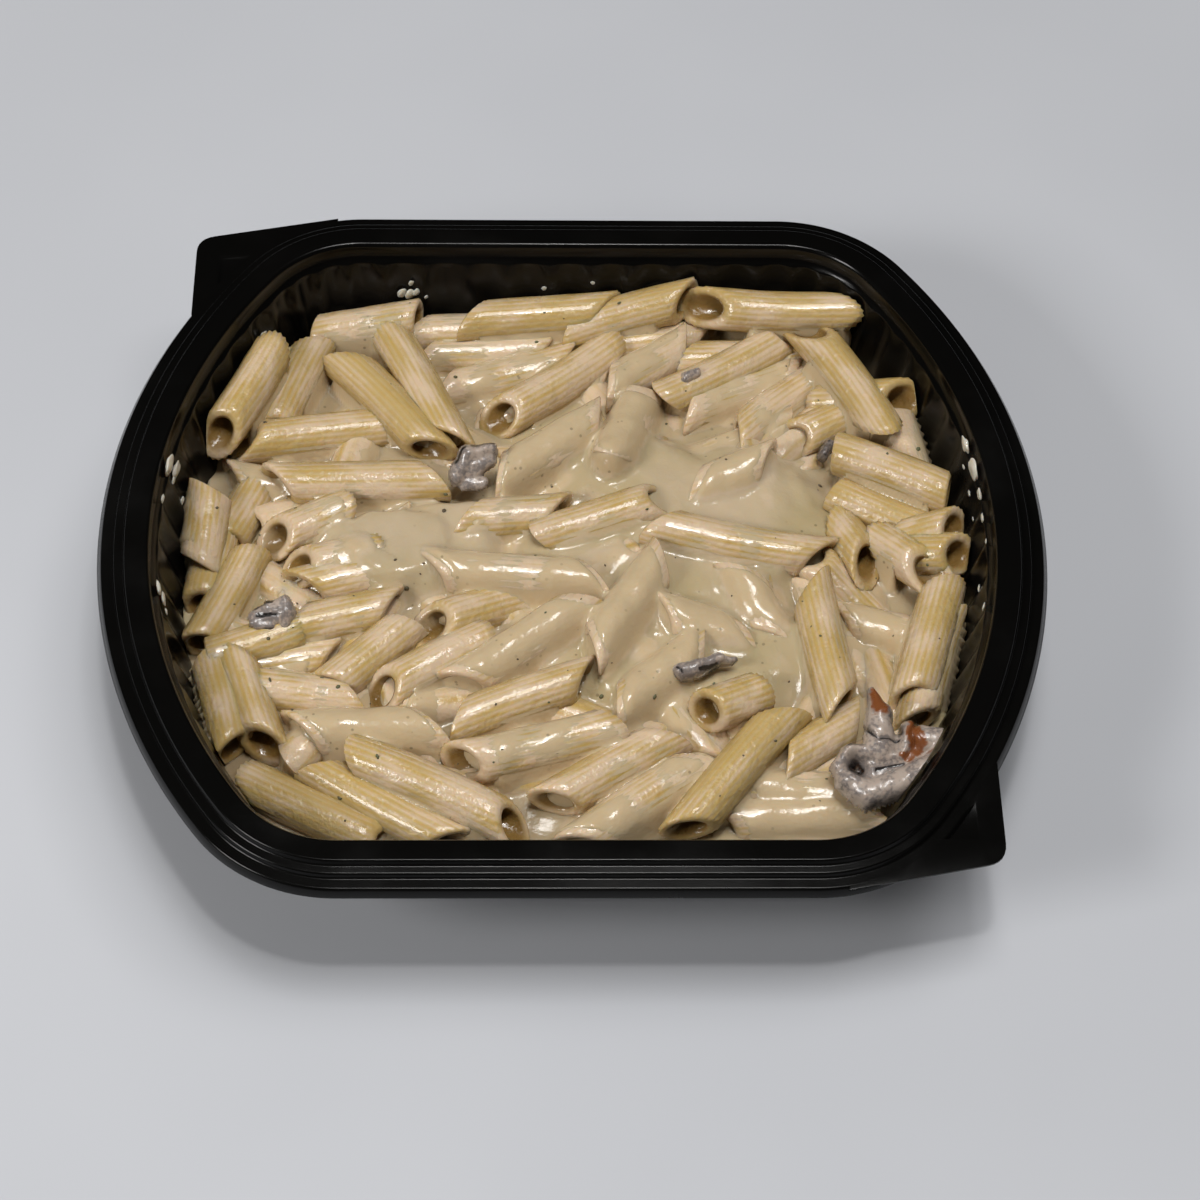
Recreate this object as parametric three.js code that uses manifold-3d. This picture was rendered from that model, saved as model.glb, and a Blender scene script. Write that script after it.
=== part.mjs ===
// A black thermoformed meal tray with two corner pull tabs, filled with penne in a creamy mushroom sauce.
// Millimetres, +Z up. The origin is the centre of the tray's foot, and +X runs along the tray's long side.
import * as THREE from "three";
import { mergeVertices } from "three/addons/utils/BufferGeometryUtils.js";
import Module from "manifold-3d";

const wasm = await Module();
wasm.setup();

// ---- driving dimensions -------------------------------------------------------------------------

const TRAY = {
  width: 227, // over the bulging left and right ends
  depth: 202, // over the straight front and back sides
  height: 40,
  endRadius: 141.7, // the arcs of the left and right ends
  cornerRadius: 39.7, // the fillets between ends and sides
  sheet: 0.9, // the plastic's thickness
};
const WALL = {
  inset: 14.2, // from the outer outline to the top of the inner wall
  topDrop: 4.6, // from the rim's top down to where the wall starts
  draft: THREE.MathUtils.degToRad(13),
  cornerHeight: 7, // where the wall turns into the floor
  fluteDepth: 1.1, // between the inner and outer crest of a flute
  fluteFade: 2.4, // the height over which the flutes rise out of the wall
};
const FOOT = {
  panelRise: 1.2, // the middle of the floor stands this far above the foot
  width: 8.5, // the flat ring that the tray stands on
  slope: 1.6,
};
const TAB = {
  start: new THREE.Vector2(-57.5, 100.95), // where the tab leaves the back side
  corner: new THREE.Vector2(-95.7, 92.7),
  end: new THREE.Vector2(-95.7, 67),
  cornerRadius: 4.5,
  root: 2.4, // how far the tab's sheet reaches into the flange
  lipWidth: 1.9, // the lower band along the tab's free edges
  lipDrop: 3.7,
  mark: new THREE.Vector2(9, 10.5), // the legs of the three-cornered recess
  markInset: 5.6,
  markDepth: 0.5,
};
// The rim's steps from the outer lip inwards: inset from the outer outline, and drop below the rim's top.
const RIM_TOP = [
  { inset: 12.9, drop: 3.9 },
  { inset: 12.7, drop: 0.8 },
  { inset: 12.0, drop: 0 },
  { inset: 6.9, drop: 0 },
  { inset: 6.3, drop: 1.3 },
  { inset: 4.3, drop: 1.4 },
  { inset: 3.8, drop: 2.6 },
  { inset: 1.2, drop: 2.7 },
  { inset: 0, drop: 4.8 },
];
const RIM_UNDER = [
  { inset: 0.8, drop: 4.8 },
  { inset: 1.8, drop: 3.6 },
  { inset: 4.6, drop: 3.5 },
  { inset: 7.1, drop: 2.2 },
  { inset: 7.7, drop: 0.9 },
  { inset: 11.6, drop: 0.9 },
  { inset: 11.9, drop: 4.8 },
];
const FLANGE_DROP = 2.7;
const LIP_DROP = 4.8;
// Flutes along half a straight side, a corner fillet and half an end.
const FLUTES = { side: 5, corner: 3, end: 8 };

const PENNE = {
  radius: 5.25,
  length: 40, // along the middle line, so about 50 from tip to tip
  facets: 6,
  across: 18.5, // spacing of the rows
  along: 35, // spacing within a row
  wallClear: 3,
};
// The top of the pasta below the rim's top, at the wall on each side and at the crown.
const FILL = {
  left: 12.5,
  right: 12,
  back: 12.5,
  front: 12,
  crown: 7,
  crownX: 10,
  crownY: -8,
  coreDepth: 6, // how far the smooth core lies below the tops of the penne
};
const SAUCE = {
  centre: new THREE.Vector2(8, -4),
  reach: new THREE.Vector2(66, 43),
  lobe: 0.13, // how far the lobes of its edge stand out, as a share of the reach
  depth: 3, // from its top down to the core
  edgeDrop: 1.5,
};
const GAP = 0.3; // between solids that touch
// The rings of the heap's core: their share of its reach, and which points of the outline they keep.
const CORE_RINGS = [
  { share: 0.35, every: 8 },
  { share: 0.65, every: 4 },
  { share: 0.88, every: 2 },
  { share: 1, every: 1 },
];

const RIM_Z = TRAY.height;
const FLOOR_Z = TRAY.sheet + FOOT.panelRise;

// ---- mesh and solid helpers ---------------------------------------------------------------------

// A manifold solid from a closed three.js geometry.
function toSolid(geometry) {
  const bare = geometry.clone();
  bare.deleteAttribute("normal");
  bare.deleteAttribute("uv");
  const merged = mergeVertices(bare, 1e-4);
  const mesh = new wasm.Mesh({
    numProp: 3,
    vertProperties: new Float32Array(merged.attributes.position.array),
    triVerts: new Uint32Array(merged.index.array),
  });
  return new wasm.Manifold(mesh);
}

// A three.js geometry from a manifold solid.
function toGeometry(solid) {
  const mesh = solid.getMesh();
  const geometry = new THREE.BufferGeometry();
  geometry.setAttribute("position", new THREE.BufferAttribute(mesh.vertProperties, 3));
  geometry.setIndex(new THREE.BufferAttribute(mesh.triVerts, 1));
  const flat = geometry.toNonIndexed();
  flat.computeVertexNormals();
  return flat;
}

function namedMesh(name, solid, color, roughness) {
  const material = new THREE.MeshStandardMaterial({ color, roughness, metalness: 0 });
  const mesh = new THREE.Mesh(toGeometry(solid), material);
  mesh.name = name;
  return mesh;
}

// Triangles between two closed rows of points, where one row may have twice the points of the other.
function bridge(a, b, indices) {
  if (a.count === b.count) {
    for (let i = 0; i < a.count; i += 1) {
      const j = (i + 1) % a.count;
      indices.push(a.start + i, b.start + i, b.start + j);
      indices.push(a.start + i, b.start + j, a.start + j);
    }
    return;
  }
  const finerIsA = a.count > b.count;
  const fine = finerIsA ? a : b;
  const coarse = finerIsA ? b : a;
  for (let i = 0; i < coarse.count; i += 1) {
    const c0 = coarse.start + i;
    const c1 = coarse.start + ((i + 1) % coarse.count);
    const f0 = fine.start + 2 * i;
    const f1 = f0 + 1;
    const f2 = fine.start + ((2 * i + 2) % fine.count);
    if (finerIsA) {
      indices.push(f0, c0, f1, f1, c0, c1, f1, c1, f2);
    } else {
      indices.push(c0, f0, f1, c0, f1, c1, c1, f1, f2);
    }
  }
}

// A closed shell through rows of points that run anticlockwise, from the middle of its top to the
// middle of its bottom.
function shell(rows, topCentre, bottomCentre) {
  const positions = [];
  const indices = [];
  const spans = rows.map((row) => {
    const start = positions.length / 3;
    row.forEach((p) => positions.push(p.x, p.y, p.z));
    return { start, count: row.length };
  });
  const top = positions.length / 3;
  positions.push(...topCentre.toArray(), ...bottomCentre.toArray());
  const first = spans[0];
  for (let i = 0; i < first.count; i += 1) {
    indices.push(top, first.start + i, first.start + ((i + 1) % first.count));
  }
  for (let k = 0; k + 1 < spans.length; k += 1) {
    bridge(spans[k], spans[k + 1], indices);
  }
  const last = spans[spans.length - 1];
  for (let i = 0; i < last.count; i += 1) {
    indices.push(last.start + i, top + 1, last.start + ((i + 1) % last.count));
  }
  const geometry = new THREE.BufferGeometry();
  geometry.setAttribute("position", new THREE.Float32BufferAttribute(positions, 3));
  geometry.setIndex(indices);
  return geometry;
}

function prism(shape, low, high) {
  const geometry = new THREE.ExtrudeGeometry(shape, { depth: high - low, bevelEnabled: false, curveSegments: 6 });
  return toSolid(geometry.translate(0, 0, low));
}

// Repeatable random numbers between 0 and 1.
function randomSource(seed) {
  let state = seed;
  return () => {
    state = (state * 1664525 + 1013904223) % 4294967296;
    return state / 4294967296;
  };
}

// ---- the tray's outline -------------------------------------------------------------------------

// The outline moved inwards, as points in order from the middle of the right end, anticlockwise.
// Even points are shared by the coarse and the fine outline.
function outline(inset, fine) {
  const share = fine ? 2 : 1;
  const endCentre = TRAY.width / 2 - TRAY.endRadius;
  const endRadius = TRAY.endRadius - inset;
  const cornerRadius = TRAY.cornerRadius - inset;
  const side = TRAY.depth / 2 - inset;
  const across = TRAY.depth / 2 - TRAY.cornerRadius;
  const between = TRAY.endRadius - TRAY.cornerRadius;
  const along = Math.sqrt(between * between - across * across);
  const turn = Math.atan2(across, along);
  const cornerX = endCentre + along;
  const quarter = [];
  const endSteps = FLUTES.end * share;
  for (let i = 0; i < endSteps; i += 1) {
    const angle = (turn * i) / endSteps;
    quarter.push(new THREE.Vector2(endCentre + endRadius * Math.cos(angle), endRadius * Math.sin(angle)));
  }
  const cornerSteps = FLUTES.corner * share;
  for (let i = 0; i < cornerSteps; i += 1) {
    const angle = turn + ((Math.PI / 2 - turn) * i) / cornerSteps;
    const x = cornerX + cornerRadius * Math.cos(angle);
    quarter.push(new THREE.Vector2(x, across + cornerRadius * Math.sin(angle)));
  }
  const sideSteps = FLUTES.side * share;
  for (let i = 0; i <= sideSteps; i += 1) {
    quarter.push(new THREE.Vector2(cornerX * (1 - i / sideSteps), side));
  }
  const half = quarter.concat(
    quarter
      .slice(0, -1)
      .reverse()
      .map((p) => new THREE.Vector2(-p.x, p.y)),
  );
  const lower = half
    .slice(1, -1)
    .reverse()
    .map((p) => new THREE.Vector2(p.x, -p.y));
  return half.concat(lower);
}

function plainRow(inset, z) {
  return outline(inset, false).map((p) => new THREE.Vector3(p.x, p.y, z));
}

// A row whose points stand in and out by turns, as the flutes do.
function flutedRow(inset, z, depth) {
  const inner = outline(inset + depth / 2, true);
  const outer = outline(inset - depth / 2, true);
  return inner.map((p, i) => {
    const q = i % 2 === 0 ? outer[i] : p;
    return new THREE.Vector3(q.x, q.y, z);
  });
}

function wallInset(z) {
  return WALL.inset + (RIM_Z - WALL.topDrop - z) * Math.tan(WALL.draft);
}

// ---- the tray -----------------------------------------------------------------------------------

// The rows up one side of the fluted wall; shift moves them outwards for the wall's outer face.
function wallRows(shift) {
  const top = RIM_Z - WALL.topDrop;
  const fluteTop = top - WALL.fluteFade;
  const low = WALL.cornerHeight;
  return [
    flutedRow(wallInset(low) - shift, low, WALL.fluteDepth),
    flutedRow(wallInset(fluteTop) - shift, fluteTop, WALL.fluteDepth),
    plainRow(WALL.inset - shift, top),
  ];
}

function makeTray() {
  const floorInset = wallInset(WALL.cornerHeight) + 5.5;
  const panelInset = floorInset + FOOT.width;
  const rows = [
    plainRow(panelInset + FOOT.slope, FLOOR_Z),
    plainRow(panelInset, TRAY.sheet),
    plainRow(floorInset, TRAY.sheet),
    plainRow(wallInset(WALL.cornerHeight) + 1.8, TRAY.sheet + 2.2),
    ...wallRows(0),
    ...RIM_TOP.map((step) => plainRow(step.inset, RIM_Z - step.drop)),
    ...RIM_UNDER.map((step) => plainRow(step.inset, RIM_Z - step.drop)),
    ...wallRows(TRAY.sheet).reverse(),
    plainRow(wallInset(WALL.cornerHeight) + 0.9, 2.2),
    plainRow(floorInset - 0.5, 0),
    plainRow(panelInset + 0.4, 0),
    plainRow(panelInset + FOOT.slope + 0.4, FOOT.panelRise),
  ];
  const floor = new THREE.Vector3(0, 0, FLOOR_Z);
  const under = new THREE.Vector3(0, 0, FOOT.panelRise);
  let tray = toSolid(shell(rows, floor, under));
  tray = tray.add(makeTab(0));
  return tray.add(makeTab(Math.PI));
}

// The tab's outline at the back left corner, moved inwards by inset along its free edges.
function tabShape(inset) {
  const edge = TAB.corner.clone().sub(TAB.start).normalize();
  const inward = new THREE.Vector2(-edge.y, edge.x).multiplyScalar(inset);
  const start = TAB.start.clone().add(inward);
  const slope = edge.y / edge.x;
  const cornerX = TAB.corner.x + inset;
  const cornerY = start.y + slope * (cornerX - start.x);
  const radius = TAB.cornerRadius - inset;
  const shape = new THREE.Shape();
  shape.moveTo(start.x, start.y);
  shape.lineTo(cornerX - radius * edge.x, cornerY - radius * edge.y);
  shape.quadraticCurveTo(cornerX, cornerY, cornerX, cornerY - radius);
  shape.lineTo(cornerX, TAB.end.y);
  shape.lineTo(start.x - 10, TAB.end.y - 8);
  shape.lineTo(start.x, TAB.end.y);
  return shape;
}

// The three-cornered recess pressed into the tab, with its square corner towards the tab's own.
function markShape() {
  const x = TAB.corner.x + TAB.markInset;
  const y = TAB.corner.y - TAB.markInset;
  const shape = new THREE.Shape();
  shape.moveTo(x, y);
  shape.lineTo(x, y - TAB.mark.y);
  shape.lineTo(x + TAB.mark.x, y);
  return shape;
}

function makeTab(turn) {
  const top = RIM_Z - FLANGE_DROP;
  const step = RIM_Z - TAB.lipDrop;
  const lip = RIM_Z - LIP_DROP;
  const inside = new THREE.Shape(outline(TAB.root, false));
  const tab = prism(tabShape(0), lip, step)
    .add(prism(tabShape(TAB.lipWidth), step - TRAY.sheet, top))
    .subtract(prism(tabShape(TAB.lipWidth), lip - 1, top - TRAY.sheet))
    .subtract(prism(inside, 0, RIM_Z + 5))
    .subtract(prism(markShape(), top - TAB.markDepth, top + 1));
  const turned = toGeometry(tab).rotateZ(turn);
  return toSolid(turned);
}

// ---- the pasta ----------------------------------------------------------------------------------

// The height of the tops of the penne at a place in the tray.
function pileTop(x, y) {
  const across = wallInset(RIM_Z - FILL.front);
  const u = x / (TRAY.width / 2 - across);
  const v = y / (TRAY.depth / 2 - across);
  const sideways = (u * u) / (u * u + v * v + 1e-6);
  const ends = (FILL.left + FILL.right) / 2 - ((FILL.left - FILL.right) / 2) * u;
  const sides = (FILL.back + FILL.front) / 2 + ((FILL.back - FILL.front) / 2) * v;
  const wall = sideways * ends + (1 - sideways) * sides;
  const du = (x - FILL.crownX) / (TRAY.width / 2 - across);
  const dv = (y - FILL.crownY) / (TRAY.depth / 2 - across);
  const away = Math.min(1, du * du + dv * dv);
  return RIM_Z - FILL.crown - (wall - FILL.crown) * away;
}

// The smooth body of the pasta under its top layer; grow widens it on every side.
function heapCore(grow) {
  const side = wallInset(RIM_Z - FILL.front) + WALL.fluteDepth + GAP - grow;
  const rings = CORE_RINGS.map(({ share, every }) =>
    outline(side, false)
      .filter((p, i) => i % every === 0)
      .map((p) => {
        const x = p.x * share;
        const y = p.y * share;
        return new THREE.Vector3(x, y, pileTop(x, y) - FILL.coreDepth + grow);
      }),
  );
  const bottom = FLOOR_Z + GAP - grow;
  const low = wallInset(WALL.cornerHeight) + WALL.fluteDepth / 2 + GAP - grow;
  rings.push(plainRow(low, WALL.cornerHeight));
  rings.push(plainRow(low + 5.5, bottom));
  const crown = new THREE.Vector3(0, 0, pileTop(0, 0) - FILL.coreDepth + grow);
  return toSolid(shell(rings, crown, new THREE.Vector3(0, 0, bottom)));
}

// The room inside the tray, a gap clear of its wall, open upwards.
function cavity(grow) {
  const high = RIM_Z + 5;
  const clear = WALL.fluteDepth / 2 + GAP - grow;
  const top = RIM_Z - WALL.topDrop;
  const low = WALL.cornerHeight;
  const bottom = FLOOR_Z + GAP - grow;
  const rows = [
    plainRow(WALL.inset + clear, high),
    plainRow(WALL.inset + clear, top),
    plainRow(wallInset(low) + clear, low),
    plainRow(wallInset(low) + clear + 5.5, bottom),
  ];
  return toSolid(shell(rows, new THREE.Vector3(0, 0, high), new THREE.Vector3(0, 0, bottom)));
}

// One piece of penne without its bore, cut slantwise at both ends.
function penneGeometry(length, grow) {
  const radius = PENNE.radius + grow;
  const geometry = new THREE.CylinderGeometry(radius, radius, length + 2 * grow, PENNE.facets, 1);
  const shear = new THREE.Matrix4().set(1, 0, 0, 0, 1, 1, 0, 0, 0, 0, 1, 0, 0, 0, 0, 1);
  return geometry.applyMatrix4(shear);
}

// Whether a place is within the room that the penne lie in, a rounded rectangle.
function inTray(x, y) {
  const clear = wallInset(RIM_Z - FILL.front) + PENNE.wallClear;
  const u = Math.abs(x) / (TRAY.width / 2 - clear);
  const v = Math.abs(y) / (TRAY.depth / 2 - clear);
  return u ** 4 + v ** 4 < 1;
}

// The penne of the top layer: they lie in rows, fanned from the left end to the right one, and those
// that would reach into the wall are drawn towards the middle.
function topLayer(grow) {
  const random = randomSource(7);
  const rowCount = Math.floor(TRAY.depth / PENNE.across);
  const inRow = Math.floor(TRAY.width / PENNE.along);
  const pieces = [];
  for (let row = 0; row <= rowCount; row += 1) {
    for (let k = 0; k <= inRow; k += 1) {
      let x = (k - inRow / 2 + (row % 2) / 2 + 0.5 * (random() - 0.5)) * PENNE.along;
      let y = (row - rowCount / 2 + 0.5 * (random() - 0.5)) * PENNE.across;
      const turn = THREE.MathUtils.degToRad(12 - (55 * x) / 90 + 70 * (random() - 0.5));
      const length = PENNE.length * (0.85 + 0.25 * random());
      const tilt = 0.22 * (random() - 0.5);
      const lift = 3.2 * (random() - 0.62);
      const roll = 2 * Math.PI * random();
      if (!inTray(x, y)) continue;
      const reach = length / 2 + PENNE.radius;
      const run = new THREE.Vector2(reach * Math.cos(turn), reach * Math.sin(turn));
      while (!inTray(x + run.x, y + run.y) || !inTray(x - run.x, y - run.y)) {
        x *= 0.95;
        y *= 0.95;
      }
      const ahead = pileTop(x + run.x, y + run.y);
      const behind = pileTop(x - run.x, y - run.y);
      const rise = Math.atan2(ahead - behind, 2 * reach) + tilt;
      const geometry = penneGeometry(length, grow)
        .rotateY(roll)
        .rotateZ(-Math.PI / 2)
        .rotateY(-rise)
        .rotateZ(turn)
        .translate(x, y, pileTop(x, y) - PENNE.radius + lift);
      pieces.push(toSolid(geometry));
    }
  }
  return pieces;
}

function makeHeap(grow) {
  let heap = heapCore(grow);
  for (const piece of topLayer(grow)) {
    heap = heap.add(piece);
  }
  return heap.intersect(cavity(grow));
}

// ---- the sauce ----------------------------------------------------------------------------------

// The pool of sauce that fills the hollows in the middle, before the penne are cut out of it.
function saucePool() {
  const steps = 24;
  const ring = (share, height) => {
    const points = [];
    for (let i = 0; i < steps; i += 1) {
      const angle = (2 * Math.PI * i) / steps;
      const lobes = 1 + SAUCE.lobe * (Math.sin(3 * angle + 0.8) + 0.6 * Math.sin(5 * angle + 2.1));
      const x = SAUCE.centre.x + SAUCE.reach.x * share * lobes * Math.cos(angle);
      const y = SAUCE.centre.y + SAUCE.reach.y * share * lobes * Math.sin(angle);
      points.push(new THREE.Vector3(x, y, height(x, y)));
    }
    return points;
  };
  const top = (drop) => (x, y) => pileTop(x, y) - FILL.coreDepth + SAUCE.depth - drop;
  const under = (x, y) => pileTop(x, y) - FILL.coreDepth - 1;
  const rows = [
    ring(0.5, top(0)),
    ring(0.88, top(SAUCE.edgeDrop / 4)),
    ring(1, top(SAUCE.edgeDrop)),
    ring(1, under),
    ring(0.5, under),
  ];
  const { x, y } = SAUCE.centre;
  const topCentre = new THREE.Vector3(x, y, top(0)(x, y));
  return toSolid(shell(rows, topCentre, new THREE.Vector3(x, y, under(x, y))));
}

function largestOf(solid) {
  const pieces = solid.decompose();
  pieces.sort((a, b) => b.volume() - a.volume());
  return pieces[0];
}

// ---- the mushrooms ------------------------------------------------------------------------------

// A slice through a mushroom's cap and stem, with its stem down along -Y; width is that of the cap.
function sliceShape(width) {
  const half = width / 2;
  const stem = width * 0.17;
  const shape = new THREE.Shape();
  shape.moveTo(-stem, -half * 0.95);
  shape.lineTo(stem * 0.9, -half * 0.85);
  shape.quadraticCurveTo(stem, -half * 0.3, half * 0.55, -half * 0.12);
  shape.quadraticCurveTo(half * 1.05, -half * 0.15, half, half * 0.15);
  shape.quadraticCurveTo(half * 0.75, half * 0.78, 0, half * 0.8);
  shape.quadraticCurveTo(-half * 0.75, half * 0.78, -half, half * 0.1);
  shape.quadraticCurveTo(-half * 1.02, -half * 0.2, -half * 0.5, -half * 0.15);
  shape.quadraticCurveTo(-stem, -half * 0.3, -stem, -half * 0.95);
  return shape;
}

// A mushroom slice as it lies in the dish: at is its middle, and curl bends its ends downwards.
function mushroomSlice({ width, thickness, curl, turn, lean, at }, grow) {
  const bevel = thickness * 0.28;
  const geometry = new THREE.ExtrudeGeometry(sliceShape(width), {
    depth: thickness - 2 * bevel,
    bevelEnabled: true,
    bevelThickness: bevel,
    bevelSize: bevel,
    bevelOffset: -bevel,
    bevelSegments: 1,
    curveSegments: 3,
  });
  geometry.translate(0, 0, bevel - thickness / 2);
  const positions = geometry.attributes.position;
  for (let i = 0; i < positions.count; i += 1) {
    const share = positions.getX(i) / (width / 2);
    positions.setZ(i, positions.getZ(i) - curl * share * share);
  }
  const wider = (width + 2.6 * grow) / width;
  geometry.scale(wider, wider, (thickness + 2.6 * grow) / thickness);
  geometry.rotateX(lean);
  geometry.rotateZ(turn);
  geometry.translate(at[0], at[1], pileTop(at[0], at[1]) + at[2]);
  return toSolid(geometry);
}

const MUSHROOMS = {
  mushroom_browned: { width: 27, thickness: 8.5, curl: 3, turn: 0.45, lean: 0.25, at: [71.5, -53.5, 0.5] },
  mushroom_slice_back: { width: 14, thickness: 3.4, curl: 1, turn: -0.6, lean: 0.5, at: [-24, 22.5, -3.2] },
  mushroom_strip: { width: 15.5, thickness: 4.6, curl: 0.8, turn: 0.15, lean: 1.1, at: [31, -33, -3.4] },
  mushroom_left: { width: 13.5, thickness: 4, curl: 1.2, turn: 1.4, lean: 0.35, at: [-72, -18.5, -2.8] },
};

// ---- the whole ----------------------------------------------------------------------------------

let heap = makeHeap(0);
let sauce = saucePool().subtract(makeHeap(GAP));
const group = new THREE.Group();
group.add(namedMesh("tray", makeTray(), 0x0b0b0c, 0.25));
for (const [name, sizes] of Object.entries(MUSHROOMS)) {
  const room = mushroomSlice(sizes, GAP);
  heap = heap.subtract(room);
  sauce = sauce.subtract(room);
  group.add(namedMesh(name, mushroomSlice(sizes, 0), 0x7c6a5c, 0.4));
}
group.add(namedMesh("pasta_heap", largestOf(heap), 0xd9bd84, 0.45));
group.add(namedMesh("cream_sauce", largestOf(sauce), 0xd8c3a0, 0.35));

export default group;
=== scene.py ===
"""A black meal tray of penne in creamy mushroom sauce, dressed round its CAD frame.

Sizes are in millimetres with +Z up, as in the frame, and every finished mesh is scaled to metres.
"""

import logging
import math
import random
from collections.abc import Iterable, Sequence
from dataclasses import dataclass, field
from enum import Enum
from typing import Any

import bmesh
import bpy
import numpy as np
from mathutils import Matrix, Vector, noise
from mathutils.bvhtree import BVHTree


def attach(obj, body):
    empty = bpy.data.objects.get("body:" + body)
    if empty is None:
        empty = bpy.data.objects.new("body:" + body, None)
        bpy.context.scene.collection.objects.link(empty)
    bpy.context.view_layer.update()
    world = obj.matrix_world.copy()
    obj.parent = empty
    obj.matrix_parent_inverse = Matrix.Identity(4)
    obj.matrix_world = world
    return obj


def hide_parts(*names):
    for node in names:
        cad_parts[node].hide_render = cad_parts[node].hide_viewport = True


MM = 0.001
BODY = "root"
log = logging.getLogger("meal_tray")
Triple = tuple[float, float, float]
Colour = Triple
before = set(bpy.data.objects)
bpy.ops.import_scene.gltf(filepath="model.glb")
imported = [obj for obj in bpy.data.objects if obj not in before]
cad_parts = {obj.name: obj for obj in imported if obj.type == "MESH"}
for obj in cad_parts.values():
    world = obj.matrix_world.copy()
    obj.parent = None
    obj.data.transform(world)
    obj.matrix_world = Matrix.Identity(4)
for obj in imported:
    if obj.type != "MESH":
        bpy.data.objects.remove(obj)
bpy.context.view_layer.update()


# ---- shader expressions -------------------------------------------------------------------------


class Amount:
    """A number that varies over a surface, which the usual operators turn into Math nodes."""

    def __init__(self, net: "Network", socket: bpy.types.NodeSocket) -> None:
        """Wraps a socket of a material's node tree."""
        self.net = net
        self.socket = socket

    def _math(self, operation: str, *inputs: "Amount | float") -> "Amount":
        """Adds a Math node.

        Args:
            operation: The node's operation.
            inputs: Its inputs in order.

        Returns:
            The node's result.
        """
        values = dict(enumerate(inputs))
        return self.net.amount("ShaderNodeMath", {"operation": operation}, values)

    def __add__(self, other: "Amount | float") -> "Amount":
        """The sum."""
        return self._math("ADD", self, other)

    __radd__ = __add__

    def __sub__(self, other: "Amount | float") -> "Amount":
        """The difference."""
        return self._math("SUBTRACT", self, other)

    def __rsub__(self, other: float) -> "Amount":
        """The difference from a plain number."""
        return self._math("SUBTRACT", other, self)

    def __mul__(self, other: "Amount | float") -> "Amount":
        """The product."""
        return self._math("MULTIPLY", self, other)

    __rmul__ = __mul__

    def clamp(self) -> "Amount":
        """The amount held between 0 and 1."""
        return self.step(0.0, 1.0, smooth=False)

    def step(self, low: float, high: float, smooth: bool = True) -> "Amount":
        """Maps low to 0 and high to 1.

        Args:
            low: The amount that becomes 0.
            high: The amount that becomes 1.
            smooth: Whether the ends are eased.

        Returns:
            The mapped amount, held between 0 and 1.
        """
        settings = {"interpolation_type": "SMOOTHSTEP" if smooth else "LINEAR"}
        inputs = {"Value": self, "From Min": low, "From Max": high}
        return self.net.amount("ShaderNodeMapRange", settings, inputs)


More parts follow.
